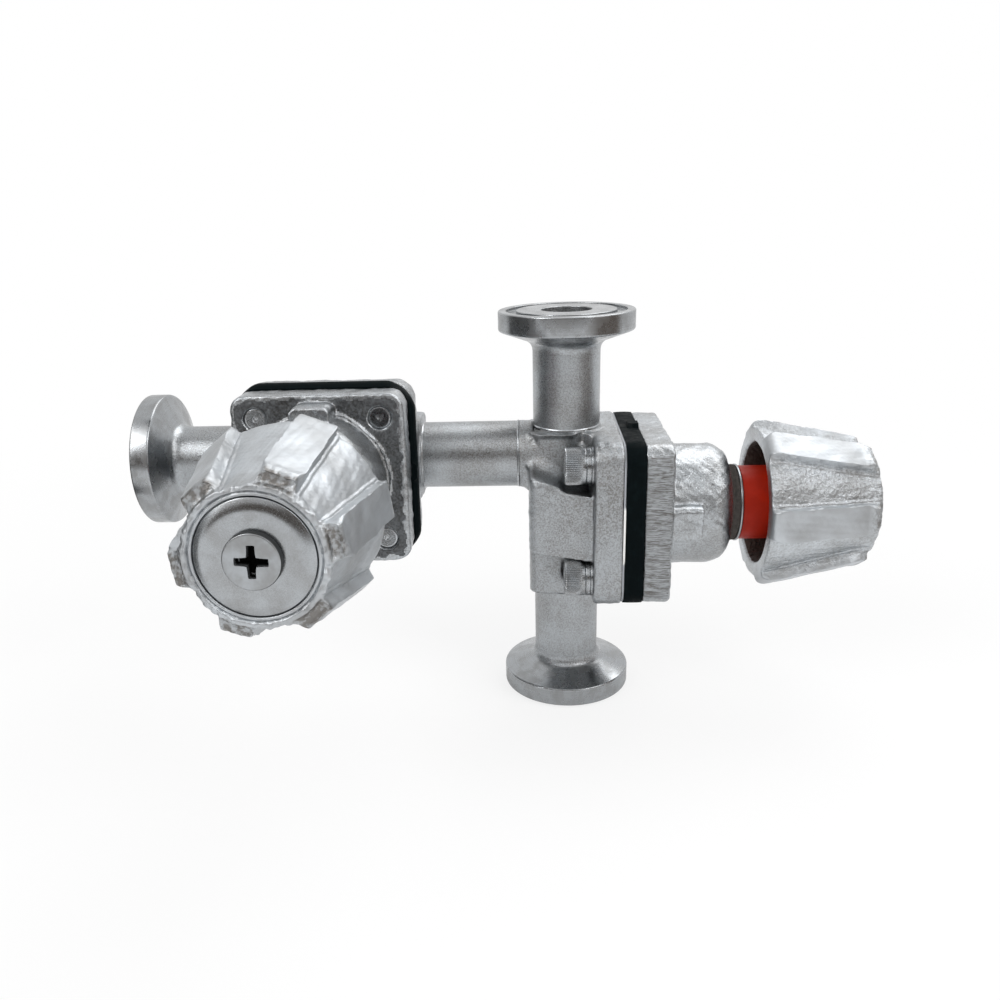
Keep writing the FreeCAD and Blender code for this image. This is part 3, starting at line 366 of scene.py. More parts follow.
class Paint(Nodes):
    """A procedural material on a principled shader."""

    def __init__(self, name, metallic=0.0, roughness=0.5, specular=0.5, colour=(0.8, 0.8, 0.8)):
        self.material = bpy.data.materials.new(name)
        self.material.use_nodes = True
        super().__init__(self.material.node_tree)
        self.shader = self.tree.nodes["Principled BSDF"]
        fixed = {"Metallic": metallic, "Roughness": roughness, "Specular IOR Level": specular,
                 "Base Color": (*colour, 1)}
        for label, value in fixed.items():
            self.shader.inputs[label].default_value = value

    def place(self, frame=None):
        """Object coordinates, turned into a piece's own frame where one is given."""
        here = self.node("ShaderNodeTexCoord", {}, {}, "Object")
        if frame is None:
            return here
        return self.node("ShaderNodeMapping", {"vector_type": "TEXTURE"}, {
            "Vector": here,
            "Location": frame.to_translation(),
            "Rotation": frame.to_euler(),
        })

    def mark(self, label):
        """The number that the piece's own points carry under a name."""
        return self.node("ShaderNodeAttribute", {"attribute_name": label}, {}, "Fac")

    def noise(self, where, size, detail=2.0, roughness=0.5, stretch=None):
        """Noise whose features are about size across; stretch scales it along each axis."""
        if stretch is not None:
            where = self.node("ShaderNodeVectorMath", {"operation": "MULTIPLY"}, {0: where, 1: stretch})
        return self.node("ShaderNodeTexNoise", {}, {
            "Vector": where, "Scale": 1 / size, "Detail": detail, "Roughness": roughness})

    def fit(self, value, low, high, to_low=0.0, to_high=1.0):
        """A value from low..high carried to to_low..to_high, smooth at both ends."""
        return self.node("ShaderNodeMapRange", {"interpolation_type": "SMOOTHSTEP"}, {
            "Value": value, "From Min": low, "From Max": high, "To Min": to_low, "To Max": to_high})

    def blend(self, factor, first, second):
        """Two colours mixed: the first at factor 0, the second at 1."""
        values = {0: factor}
        for slot, shade in ((6, first), (7, second)):
            values[slot] = shade if isinstance(shade, Signal) else (*shade, 1.0)
        return self.node("ShaderNodeMix", {"data_type": "RGBA"}, values, 2)

    def bump(self, height, depth, strength=1.0):
        values = {"Height": height, "Distance": depth, "Strength": strength}
        return self.node("ShaderNodeBump", {}, values)

    def split(self, where):
        return [self.node("ShaderNodeSeparateXYZ", {}, {0: where}, axis) for axis in range(3)]

    def feed(self, colour=None, roughness=None, normal=None):
        """Link what changes over the surface to the shader, and give the material back."""
        for label, value in (("Base Color", colour), ("Roughness", roughness), ("Normal", normal)):
            if value is not None:
                self.tree.links.new(value.socket, self.shader.inputs[label])
        return self.material


def tint(shade, factor):
    """A colour times a factor, up to white."""
    return tuple(min(1.0, c * factor) for c in shade)


def blasted_steel(name, light, dark, rough=(0.34, 0.5), pit=0.05, grain_size=0.35,
                  patch_size=9.0, contrast=1.0):
    """Bead-blasted or as-cast steel: fine pits, a finer grain and wide faint patches."""
    paint = Paint(name, metallic=1.0)
    where = paint.place()
    pits = paint.noise(where, grain_size * MM, 3.0, 0.6)
    grain = paint.noise(where, 0.12 * MM, 2.0, 0.6)
    patches = paint.noise(where, patch_size * MM, 3.0, 0.55)
    tone = paint.fit(patches, 0.32, 0.68, 0.1, 0.5) + paint.fit(pits, 0.34, 0.66, 0.45, -0.35) * contrast
    return paint.feed(
        colour=paint.blend(tone, light, dark),
        roughness=paint.fit(grain, 0.3, 0.7, *rough),
        normal=paint.bump(pits + grain * 0.3, pit * MM),
    )


def tube_steel(name):
    """Blasted steel of the ferrules' tubes and the link tube."""
    return blasted_steel(name, *steels(), rough=(0.24, 0.38), pit=0.055, grain_size=0.3, contrast=0.7)


def turned_steel(name, valve_frame, light, dark, rough=(0.2, 0.34), line=0.045):
    """Steel turned on a lathe about the z axis of a frame: rings of equal radius and height."""
    paint = Paint(name, metallic=1.0)
    x, y, z = paint.split(paint.place(valve_frame))
    radius = (x * x + y * y) ** 0.5
    ring = paint.node("ShaderNodeCombineXYZ", {}, {0: radius, 1: z})
    lines = paint.noise(ring, line * MM, 3.0, 0.7)
    smears = paint.noise(paint.place(), 3.0 * MM, 3.0, 0.6)
    tone = paint.fit(lines, 0.3, 0.7, 0.0, 0.5) + paint.fit(smears, 0.35, 0.7, 0.0, 0.3)
    return paint.feed(
        colour=paint.blend(tone, light, dark),
        roughness=paint.fit(smears, 0.3, 0.7, *rough),
        normal=paint.bump(lines, 0.006 * MM, 0.5),
    )


def ground_steel(name, valve_frame, light, dark):
    """Steel ground on a belt: scratches that run the spindle's way, and dull streaks."""
    paint = Paint(name, metallic=1.0)
    where = paint.place(valve_frame)
    scratches = paint.noise(where, 0.15 * MM, 3.0, 0.7, (1.0, 1.0, 0.055))
    streaks = paint.noise(where, 0.9 * MM, 2.0, 0.6, (1.0, 1.0, 0.2))
    pits = paint.noise(where, 0.4 * MM, 3.0, 0.6)
    tone = paint.fit(scratches, 0.36, 0.64, 0.85, -0.1) + paint.fit(streaks, 0.4, 0.7, 0.0, 0.3)
    return paint.feed(
        colour=paint.blend(tone, light, tint(dark, 0.7)),
        roughness=paint.fit(streaks, 0.3, 0.7, 0.34, 0.5),
        normal=paint.bump(scratches + pits * 0.4, 0.11 * MM),
    )


def wheel_steel(name, light, dark, hammered):
    """Cast wheel: pitted valleys, lobes worn to a fine satin, scarred lobe ends, an inside painted dark
    brown as shade.
    """
    paint = Paint(name, metallic=1.0)
    where = paint.place()
    inside, scarred = paint.mark("inside"), paint.mark("scarred")
    unworn = (1 - paint.mark("worn")) * hammered
    lumps = paint.noise(where, 1.1 * MM, 3.0, 0.6)
    pits = paint.noise(where, 0.42 * MM, 3.0, 0.65)
    grain = paint.noise(where, 0.1 * MM, 2.0, 0.6)
    patches = paint.noise(where, 7.0 * MM, 3.0, 0.55)
    height = (pits * 0.7 + lumps * 1.4) * (unworn + scarred * 0.5 + 0.08)
    tone = paint.fit(patches, 0.32, 0.68, 0.05, 0.4) + paint.fit(pits, 0.3, 0.7, 0.3, -0.2) * unworn
    tone = tone + scarred * paint.fit(lumps, 0.38, 0.62, 0.05, 0.85)
    outer = paint.blend(tone, light, tint(dark, 0.8))
    # the cavity inside is painted dark brown: painted shade in the recess
    return paint.feed(
        colour=paint.blend(inside, outer, (0.085, 0.065, 0.056)),
        roughness=paint.fit(grain, 0.3, 0.7, 0.36, 0.5) - unworn * 0.1 + inside * 0.1,
        normal=paint.bump(height + grain * 0.12, 0.2 * MM),
    )


def satin_screw(name, light, dark):
    """Satin steel, painted nearly black as shade in the cross and on the head's side."""
    paint = Paint(name, metallic=1.0)
    where = paint.place()
    painted_shade = paint.mark("painted_shade")
    patches = paint.noise(where, 2.6 * MM, 3.0, 0.6)
    grain = paint.noise(where, 0.12 * MM, 2.0, 0.6)
    face = paint.blend(paint.fit(patches, 0.3, 0.7, 0.0, 0.55), light, dark)
    # the cross and the head's side are painted nearly black: painted shade
    return paint.feed(
        colour=paint.blend(painted_shade, face, (0.008, 0.008, 0.008)),
        roughness=paint.fit(grain, 0.3, 0.7, 0.3, 0.4) + painted_shade * 0.4,
        normal=paint.bump(grain, 0.012 * MM, 0.7),
    )


def moulded_rubber():
    """Matt black rubber with a little dust."""
    paint = Paint("moulded_rubber", specular=0.03)
    where = paint.place()
    dust = paint.noise(where, 1.4 * MM, 4.0, 0.65)
    grain = paint.noise(where, 0.14 * MM, 3.0, 0.6)
    rubber = tuple(colours().rubber)
    return paint.feed(
        colour=paint.blend(paint.fit(dust, 0.45, 0.75, 0.0, 0.5), rubber, tint(rubber, 2.4)),
        roughness=paint.fit(dust, 0.3, 0.7, 0.42, 0.66),
        normal=paint.bump(grain + dust * 0.5, 0.03 * MM, 0.6),
    )


def fluoropolymer_facing():
    """White facing, painted grey as shade between the flanges except where it has crept out."""
    paint = Paint("fluoropolymer_facing")
    clouds = paint.noise(paint.place(), 2.0 * MM, 3.0, 0.5)
    facing = tuple(colours().facing)
    white = paint.blend(paint.fit(clouds, 0.3, 0.7, 0.0, 0.6), facing, tint(facing, 0.9))
    # the grey is painted shade on the facing between the flanges; the crept-out lip stays white
    return paint.feed(
        colour=paint.blend(paint.mark("crept"), (0.42, 0.44, 0.47), white),
        roughness=paint.fit(clouds, 0.3, 0.7, 0.3, 0.45),
    )


def sleeve_plastic():
    """Red satin plastic, a little faded in clouds."""
    paint = Paint("sleeve_plastic", specular=0.18)
    where = paint.place()
    clouds = paint.noise(where, 2.2 * MM, 3.0, 0.55)
    grain = paint.noise(where, 0.1 * MM, 2.0, 0.6)
    red = tuple(colours().sleeve)
    return paint.feed(
        colour=paint.blend(paint.fit(clouds, 0.3, 0.7, 0.0, 0.6), red, tint(red, 0.75)),
        roughness=paint.fit(clouds, 0.3, 0.7, 0.33, 0.5),
        normal=paint.bump(grain, 0.01 * MM, 0.5),
    )


def dress(item, material):
    """Give an object one material in all its slots."""
    if not item.material_slots:
        item.data.materials.append(material)
    for held in item.material_slots:
        held.material = material


def finish_piece(piece, material, body, slot, *nodes):
    """Give a piece its material and the body that it rides on, and hide the nodes it stands for. The slot
    is not used.
    """
    dress(piece, material)
    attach(piece, body)
    if nodes:
        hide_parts(*nodes)


BORE = 4.7 * MM
TUBE = 6.35 * MM
STUB = 6.5 * MM
RIM = 12.7 * MM
RIM_EDGE = 3.6 * MM
CONE_ANGLE = math.radians(20)
FACE_LAND = 1.5 * MM
FACE_GROOVE = 1.9 * MM
GROOVE_DEPTH = 0.7 * MM
TURNED_RADIUS = TUBE + 0.6 * MM
TURNED_DEPTH = RIM_EDGE + 2.6 * MM
FERRULE_LENGTH = {
    "bottom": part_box("ferrule_bottom")[1].z,
    "top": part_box("ferrule_top")[1].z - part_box("ferrule_top")[0].z,
    "left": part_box("ferrule_left")[1].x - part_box("ferrule_left")[0].x,
}


def ferrule_outline(length):
    """(radius, height) of a ferrule whose sealing face is at height 0 and whose tube runs down."""
    sizes = settings()
    cone_foot = -RIM_EDGE - (RIM - TUBE) * math.tan(CONE_ANGLE)
    groove = RIM - FACE_LAND
    soft = 0.2 * MM
    corners = [
        (BORE, -length), (TUBE, -length), (TUBE, cone_foot), (RIM, -RIM_EDGE),
        (RIM, 0), (groove, 0), (groove, -GROOVE_DEPTH), (groove - FACE_GROOVE, -GROOVE_DEPTH),
        (groove - FACE_GROOVE, 0), (BORE, 0),
    ]
    rounds = [0, 0, sizes.neck_fillet, sizes.rim_round, sizes.rim_round, soft, soft, soft, soft, soft]
    return rounded(np.array(corners), rounds, steps=9)


def facing_frame(mount):
    """Frame whose z axis is a port's axis and whose origin is the centre of its face."""
    turned = Vector(mount["axis"]).to_track_quat("Z", "Y").to_matrix().to_4x4()
    return Matrix.Translation(Vector(mount["pos_m"])) @ turned


def make_ferrule(side):
    """Turned ferrule with its short tube."""
    place = facing_frame(MOUNTS["port_" + side])
    piece = lathe("dressed_ferrule_" + side, ferrule_outline(FERRULE_LENGTH[side]), place, segments=160)
    paint_ferrule(piece, side, place)


def paint_ferrule(piece, side, place):
    """Blasted steel on the tube and turned steel on the rim with its cone."""
    finish_piece(piece, tube_steel("blasted_tube_" + side), MANIFOLD, "ferrule_steel", "ferrule_" + side)
    piece.data.materials.append(turned_steel("turned_rim_" + side, place, *steels()))
    centres, _ = face_places(piece, place)
    on_rim = (np.hypot(centres[:, 0], centres[:, 1]) > TURNED_RADIUS) & (centres[:, 2] > -TURNED_DEPTH)
    piece.data.polygons.foreach_set("material_index", on_rim.astype(np.int32))


def local_points(points, place):
    """Points of the row's frame given in a piece's own frame."""
    back = np.array(place.inverted())
    return points @ back[:3, :3].T + back[:3, 3]


def row_points(local, place):
    """Points of a piece's own frame given in the row's frame."""
    forth = np.array(place)
    return local @ forth[:3, :3].T + forth[:3, 3]


def face_places(piece, place):
    """Centres and normals of a piece's faces in its own frame."""
    count = len(piece.data.polygons)
    centres = np.empty(count * 3)
    normals = np.empty(count * 3)
    piece.data.polygons.foreach_get("center", centres)
    piece.data.polygons.foreach_get("normal", normals)
    return local_points(centres.reshape(-1, 3), place), normals.reshape(-1, 3) @ np.array(place.to_3x3())


def point_array(piece):
    """Places of a piece's points, one in each row."""
    points = np.empty(len(piece.data.vertices) * 3)
    piece.data.vertices.foreach_get("co", points)
    return points.reshape(-1, 3)


def set_points(piece, points):
    piece.data.vertices.foreach_set("co", points.ravel())
    piece.data.update()


def link_ends():
    """Frames of the link tube's two ends: z points along the tube, to its other end."""
    low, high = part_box("link_tube")
    middle = (low.z + high.z) / 2
    return [Matrix.Translation((x, 0, middle)) @ Matrix.Rotation(angle, 4, "Y")
            for x, angle in ((low.x, math.pi / 2), (high.x, -math.pi / 2))]


def make_link_tube():
    """Plain tube between the two bodies."""
    low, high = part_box("link_tube")
    outline = evenly(ring_corners(BORE, TUBE, 0, high.x - low.x), 1 * MM)
    piece = lathe("dressed_link_tube", outline, link_ends()[0], segments=160)
    finish_piece(piece, tube_steel("blasted_link_tube"), MANIFOLD, "ferrule_steel", "link_tube")


WELD_ROOT = TUBE - 0.1 * MM
WELD_LAP = 0.3
WELD_RIPPLES = 58


def weld_ring(name, place, seed):
    """Weld bead along a tube's step: its height ripples with the welder's pace.

    The bead's outline goes from the stub's edge down to the tube in a quarter of a cosine wave.
    """
    sizes = settings()
    angle = all_round(240)
    across = np.linspace(0, 1, 9)[:, None]
    pace = 1 + 0.12 * np.sin(WELD_RIPPLES * angle + seed) + 0.2 * np.sin(3 * angle + 2 * seed)
    top = STUB - WELD_ROOT + sizes.weld_height
    radius = WELD_ROOT + top * np.cos(across * math.pi / 2) * (0.9 + 0.1 * pace)
    height = (across - WELD_LAP) * sizes.weld_width
    radius = np.vstack([np.full_like(radius[:1], WELD_ROOT), radius])
    height = np.vstack([height[:1], height])
    return surface(name, turned_points(radius, angle, height), place, crease=60)


def weld_places():
    """Frame of each tube's step: z points from the valve body out along the tube."""
    places = {}
    for side in ("bottom", "top", "left"):
        outward = facing_frame(MOUNTS["port_" + side])
        places[side] = outward @ Matrix.Translation((0, 0, -FERRULE_LENGTH[side]))
    places["link_start"], places["link_end"] = link_ends()
    return places


def make_welds():
    """Weld beads of one steel at all the places where a tube meets a body."""
    light, dark = steels()
    finish = turned_steel("weld_steel", None, tint(light, 1.1), dark, rough=(0.22, 0.36), line=0.4)
    for seed, (name, place) in enumerate(weld_places().items()):
        finish_piece(weld_ring("weld_" + name, place, seed), finish, MANIFOLD, "cast_body")


def cast_copy(name, node, voxel, passes, seed):
    """Casting with softened edges, grown from a node's closed mesh.

    The mesh is merged and rebuilt from even cells, each point then moves to the mean of its
    neighbours a few times, and a sum of sine waves moves it along its normal.
    """
    mesh = frame["nodes"][node].data.copy()
    shape = bmesh.new()
    shape.from_mesh(mesh)
    bmesh.ops.remove_doubles(shape, verts=shape.verts, dist=0.0005 * MM)
    shape.to_mesh(mesh)
    shape.free()
    rough = add_object(name, mesh)
    cells = rough.modifiers.new("cells", "REMESH")
    cells.mode = "VOXEL"
    cells.voxel_size = voxel
    soften = rough.modifiers.new("soften", "SMOOTH")
    soften.iterations = passes
    soften.factor = 0.5
    graph = bpy.context.evaluated_depsgraph_get()
    solid = bpy.data.meshes.new_from_object(rough.evaluated_get(graph))
    bpy.data.objects.remove(rough)
    solid.materials.clear()
    solid.polygons.foreach_set("use_smooth", np.ones(len(solid.polygons), bool))
    piece = add_object(name, solid)
    points = point_array(piece)
    normals = np.empty(points.size)
    solid.vertex_normals.foreach_get("vector", normals)
    shift = waves(*points.T, seed, 5 * MM) * 0.6 + waves(*points.T, seed + 1, 1.6 * MM) * 0.4
    set_points(piece, points + normals.reshape(-1, 3) * (shift * settings().cast_wander)[:, None])
    return piece


# Each pair of places is where a smooth step starts and where it ends.
FLANGE_BACK = 4.6 * MM
CORE_BACK = 7.3 * MM
CORE_SIDE = 7.6 * MM
WEB_BACK = 10.4 * MM
WEB_FRONT = 6.6 * MM
WEB_RISE = (-3.5 * MM, -0.5 * MM)
WEB_FALL = (0.5 * MM, 2.0 * MM)
WEB_OUTSIDE = (7.0 * MM, 8.2 * MM)
WEB_LOWERED = 0.95 * MM
POCKET_RISE = (-2.0 * MM, -0.6 * MM)
POCKET_FALL = (13.0 * MM, 14.5 * MM)
POCKET_OUTSIDE = (4.6 * MM, 5.6 * MM)
POCKET_PASSES = 60
BEAD_HEIGHT = 0.3 * MM
BEAD_WIDTH = 0.38 * MM
BEAD_OUTSIDE = (6.8 * MM, 7.4 * MM)
BEAD_START = -CORE_BACK + 0.5 * MM
BRANCH_AXIS = 10.65 * MM
BRANCH_START = -9.3 * MM
BRANCH_END = -5 * MM
BRANCH_INNER = 6.0 * MM
BRANCH_OUTER = 7.0 * MM
BRANCH_RADIUS = 6.85 * MM
BRANCH_FOOT = 6.42 * MM
FLARE_LENGTH = 2.3 * MM
FLARE_HEIGHT = 1.3 * MM
BLOCK_HALF = 6.6 * MM
BLOCK_RISE = 1.2 * MM
BLOCK_FALL = (14.6 * MM, 16.6 * MM)
FRONT_RISE = (0, 2.5 * MM)
CORNER_RISE = (9.4 * MM, 11.4 * MM)


def web_line(z):
    """Where the web's upper face stands along the run at a height over the run's axis."""
    return WEB_BACK + (WEB_FRONT - WEB_BACK) * (z + CORE_BACK) / (FLANGE_BACK + CORE_BACK)


def under_flange(z, first, last):
    """1 well under the flange and 0 at it, with a smooth step from first to last mm before it."""
    return 1 - smooth_step(z, FLANGE_BACK - first * MM, FLANGE_BACK - last * MM)


def settle_branch_body(piece, valve):
    """Round off the right body's upper end and flare its branch.

    Above the web the core's front corners come in to the stub's radius, and on the branch's side
    the outside goes to a rounded square, the curve on which the sum of the fifth powers of both
    distances is constant. The branch's radius grows from the tube's by a square of the distance
    to its start, on the side of the web.
    """
    x, y, z = local_points(point_array(piece), valve.frame).T
    radius = np.hypot(y, z)
    off_branch = np.hypot(x - BRANCH_AXIS, y)
    on_branch = (z < BRANCH_END) & (off_branch > BRANCH_INNER) & (off_branch < BRANCH_OUTER)
    squeeze = smooth_step(x, *CORNER_RISE) * smooth_step(z, *FRONT_RISE) * under_flange(z, 1.2, 0.4)
    squeeze = squeeze * (np.abs(y) < CORE_SIDE + 0.5 * MM)
    wanted = np.where(radius > STUB, STUB + (radius - STUB) * (1 - squeeze), radius)
    outside = (radius > STUB - 0.3 * MM) | ((off_branch > BRANCH_INNER) & (z < -1 * MM))
    outside &= (z > -BLOCK_HALF) | ((z > -CORE_BACK - 0.5 * MM) & (off_branch > BRANCH_OUTER))
    block = outside * smooth_step(x - web_line(z), 0, BLOCK_RISE)
    block = block * (1 - smooth_step(x, *BLOCK_FALL)) * (1 - smooth_step(z, *FRONT_RISE))
    square = (np.abs(y) ** 5 + np.abs(z) ** 5) ** 0.2
    scale = wanted / radius + block * (BLOCK_HALF / np.maximum(square, 1 * MM) - 1)
    y, z = y * scale, z * scale
    along = np.clip((z - BRANCH_START) / FLARE_LENGTH, 0, 1)
    below = np.maximum(BRANCH_AXIS - x, 0) / np.maximum(off_branch, 1 * MM)
    flared = (BRANCH_FOOT + FLARE_HEIGHT * below * along ** 2) / BRANCH_RADIUS
    factor = np.where(on_branch, flared, 1)
    x, y = BRANCH_AXIS + (x - BRANCH_AXIS) * factor, y * factor
    set_points(piece, row_points(np.stack([x, y, z], -1), valve.frame))


def settle_web(piece, valve):
    """Lower the web's upper edge, smooth the pocket over it for the screw heads and bead the edge.

    The bead is a bell curve of thickness over the distance to the edge.
    """
    local = local_points(point_array(piece), valve.frame)
    x, y, z = local.T.copy()
    off_line = x - web_line(z)
    near = smooth_step(off_line, *WEB_RISE) * (1 - smooth_step(off_line, *WEB_FALL))
    near = near * smooth_step(np.abs(y), *WEB_OUTSIDE) * under_flange(z, 0.5, 0.1)
    local[:, 0] -= near * (0.7 + 0.5 * smooth_step(z, -CORE_BACK, FLANGE_BACK)) * MM
    pocket = smooth_step(off_line, *POCKET_RISE) * (1 - smooth_step(x, *POCKET_FALL))
    pocket = pocket * smooth_step(np.abs(y), *POCKET_OUTSIDE)
    pocket = pocket * smooth_step(z, -CORE_BACK - 1 * MM, -CORE_BACK) * under_flange(z, 1.8, 0.8)
    local = softened(piece, local, pocket, POCKET_PASSES)
    x, y, z = local.T.copy()
    bead = bell(x - web_line(z) + WEB_LOWERED, BEAD_WIDTH) * smooth_step(np.abs(y), *BEAD_OUTSIDE)
    bead = bead * smooth_step(z, BEAD_START, BEAD_START + 2 * MM) * under_flange(z, 1.0, 0.3)
    uneven = 1 + 0.4 * waves(x, y, z, 17, 1.2 * MM)
    local[:, 1] += np.sign(y) * bead * uneven * BEAD_HEIGHT
    set_points(piece, row_points(local, valve.frame))


def softened(piece, points, weight, passes):
    """Points moved toward the mean of their neighbours, a few times, each by half its weight."""
    ends = np.empty(len(piece.data.edges) * 2, np.int32)
    piece.data.edges.foreach_get("vertices", ends)
    first, second = ends.reshape(-1, 2).T
    total = len(points)
    neighbours = np.bincount(ends, minlength=total)
    points = points.copy()
    for _ in range(passes):
        for axis in range(3):
            values = points[:, axis]
            sums = np.bincount(first, values[second], total) + np.bincount(second, values[first], total)
            points[:, axis] = values + 0.5 * weight * (sums / neighbours - values)
    return points


def make_valve_body(valve):
    """Cast body; the right valve's is settled round its branch, and both at their web."""
    node = "valve_body_" + valve.suffix
    piece = cast_copy("cast_body_" + valve.suffix, node, voxel=0.26 * MM, passes=5, seed=3)
    if valve.suffix == "b":
        settle_branch_body(piece, valve)
    settle_web(piece, valve)
    finish = blasted_steel("cast_body_steel_" + valve.suffix, *steels(), rough=(0.27, 0.42), pit=0.1,
                           grain_size=0.27)
    finish_piece(piece, finish, valve.body, "cast_body", node)


FLANGE_FACE = top_of("valve_body_b")
BONNET_BASE = start_of("bonnet_b")
BONNET_FLANGE = 5.2 * MM
BONNET_FACE = BONNET_BASE + BONNET_FLANGE
NECK_END = top_of("bonnet_b")
NECK_RADIUS = 7.45 * MM
NECK_START = 31.0 * MM
BONNET_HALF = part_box("bonnet_b")[1].y
BONNET_CORNER = 3.0 * MM
BONNET_RIM = 0.95 * MM
RIM_WANDER = 0.3 * MM
GROUND_REACH = 13.5 * MM
BAND_RADIUS = NECK_RADIUS + 1.6 * MM
BAND_START = NECK_START - 1.3 * MM
DOME_ROOT = 12.4 * MM
ROOT_WANDER = 0.3 * MM
ROOT_LIP = 0.3 * MM
ROOT_BARE = 0.16 * MM
FLANGE_CORNER = 3.8 * MM
PLATE_HOLE = 9.0 * MM
PATH_STEP = 0.6 * MM
EDGE_SHARE = 0.12


def make_bonnet(valve):
    """Cast bonnet in four finishes, two of them painted dark as shade, with a ring at its neck's end."""
    node = "bonnet_" + valve.suffix
    piece = cast_copy("cast_bonnet_" + valve.suffix, node, voxel=0.23 * MM, passes=3, seed=11)
    raise_root_lip(piece, valve)
    light, dark = steels()
    cast = blasted_steel("bonnet_cast_" + valve.suffix, tint(light, 1.12), dark, rough=(0.24, 0.38),
                         pit=0.07, grain_size=0.32, contrast=0.6)
    ground = ground_steel("bonnet_ground_" + valve.suffix, valve.frame, light, dark)
    # the flange face's colours are a third of the bonnet's: painted shade under the handwheel; its
    # rougher blast is its own
    face = blasted_steel("bonnet_face_" + valve.suffix, tint(light, 0.36), tint(dark, 0.3),
                         rough=(0.44, 0.6), pit=0.12, grain_size=0.42)
    finish_piece(piece, cast, valve.body, "bonnet_steel", node)
    # the last finish is painted shade on the band at the neck
    for finish in (ground, face, neck_shade_band()):
        piece.data.materials.append(finish)
    piece.data.polygons.foreach_set("material_index", bonnet_zones(piece, valve))
    make_neck_ring(valve)


def bonnet_zones(piece, valve):
    """Finish of each face: 0 cast, 1 ground flange side, 2 flange face painted dark as shade, 3 band at
    the neck painted dark as shade.
    """
    centres, facing = face_places(piece, valve.frame)
    x, y, z = centres.T
    radius = np.hypot(x, y)
    ground = (np.abs(facing[:, 1]) > 0.85) & (z < BONNET_FACE) & (radius > GROUND_REACH)
    straight = BONNET_HALF - BONNET_CORNER
    past_x, past_y = np.maximum(np.abs(x) - straight, 0), np.maximum(np.abs(y) - straight, 0)
    reach = straight + np.hypot(past_x, past_y) + RIM_WANDER * waves(x, y, z, 21, 2.2 * MM)
    # the flange face, inside its rim and off the root's lip, takes the painted shade
    face = (facing[:, 2] > 0.8) & (z < BONNET_FACE + 0.4 * MM) & (z > BONNET_BASE + 1 * MM)
    face &= (reach < BONNET_HALF - BONNET_RIM) & (np.abs(radius - root_line(x, y)) > ROOT_BARE)
    # the band at the neck takes the painted shade of the neck band's material
    band = (radius < BAND_RADIUS) & (z > BAND_START)
    return np.select([band, face, ground & (valve.suffix == "b")], [3, 2, 1], 0).astype(np.int32)


def neck_shade_band():
    """Painted shade on the narrow band between dome and neck ring: a dull dark colour without sheen."""
    made = bpy.data.materials.get("neck_shade_band")
    if made is not None:
        return made
    paint = Paint("neck_shade_band", roughness=0.8, specular=0.0)
    streaks = paint.fit(paint.noise(paint.place(), 0.8 * MM, 3.0, 0.6), 0.3, 0.7)
    return paint.feed(colour=paint.blend(streaks, (0.12, 0.108, 0.1), (0.075, 0.068, 0.063)))


def make_neck_ring(valve):
    """Bright turned ring at the neck's end, against the sleeve."""
    corners = ring_corners(NECK_RADIUS - 0.5 * MM, NECK_RADIUS + 0.1 * MM, NECK_END - 0.5 * MM, NECK_END)
    outline = rounded(corners, 0.22 * MM, steps=7)
    ring = lathe("neck_ring_" + valve.suffix, outline, valve.frame, segments=160)
    finish = turned_steel("neck_ring_steel_" + valve.suffix, valve.frame, *steels(), rough=(0.3, 0.4))
    finish_piece(ring, finish, valve.body, "bonnet_steel")


def root_line(x, y):
    """Distance from the spindle of the wavy line where the dome's foundry mark runs on the flange."""
    angle = np.arctan2(y, x)
    wave = np.sin(5 * angle + 0.6) * 0.5 + np.sin(11 * angle + 2.0) * 0.3 + np.sin(23 * angle) * 0.2
    return DOME_ROOT + ROOT_WANDER * wave


def raise_root_lip(piece, valve):
    """Thin lip round the dome's root: a bell curve of height over the distance to the root line."""
    local = local_points(point_array(piece), valve.frame)
    x, y, z = local.T
    inside = np.maximum(np.abs(x), np.abs(y)) < BONNET_HALF - 0.8 * MM
    on_face = inside & (np.abs(z - BONNET_FACE) < 0.4 * MM)
    local[:, 2] += ROOT_LIP * bell(np.hypot(x, y) - root_line(x, y), 0.3 * MM) * on_face
    set_points(piece, row_points(local, valve.frame))


def square_path(half, corner, steps=12):
    """Closed path round a square with rounded corners.

    One corner is a quarter circle about (half - corner, half - corner), and the others are that
    one turned by 90, 180 and 270 degrees.
    """
    quarter = np.linspace(0, math.pi / 2, steps)
    x, y = half - corner + corner * np.cos(quarter), half - corner + corner * np.sin(quarter)
    return np.vstack([np.stack(pair, -1) for pair in ((x, y), (-y, x), (-x, -y), (y, -x))])


def square_ring(name, half, low, high, bulge, soft, place, tab):
    """Square plate with a round hole: a profile carried round a rounded square path.

    The outer side at height share s stands out by bulge 4 s (1 - s), and further where the tab
    does; its edges are rounded by soft.
    """
    path = evenly(square_path(half, FLANGE_CORNER), PATH_STEP)
    along = np.gradient(np.vstack([path[-1:], path, path[:1]]), axis=0)[1:-1]
    normals = np.stack([along[:, 1], -along[:, 0]], -1) / np.linalg.norm(along, axis=1)[:, None]
    middle = 1 - 1.5 * np.abs(normals[:, 0] * normals[:, 1])
    rings = []
    for share in np.linspace(0, 1, 15):
        height = low + share * (high - low)
        to_edge = max(0, 1 - min(share, 1 - share) / EDGE_SHARE)
        offset = bulge * 4 * share * (1 - share) * middle - soft * (1 - math.sqrt(1 - to_edge ** 2))
        offset = np.maximum(offset, tab(path, height))
        rings.append(np.column_stack([path + normals * offset[:, None], np.full(len(path), height)]))
    hole = path / np.linalg.norm(path, axis=1)[:, None] * PLATE_HOLE
    for height in (high, low):
        rings.append(np.column_stack([hole, np.full(len(path), height)]))
    crept = np.tile((tab(path, high) > 0.05 * MM) * 1.0, (len(rings), 1))
    return surface(name, np.array(rings), place, crease=50, marks={"crept": crept})


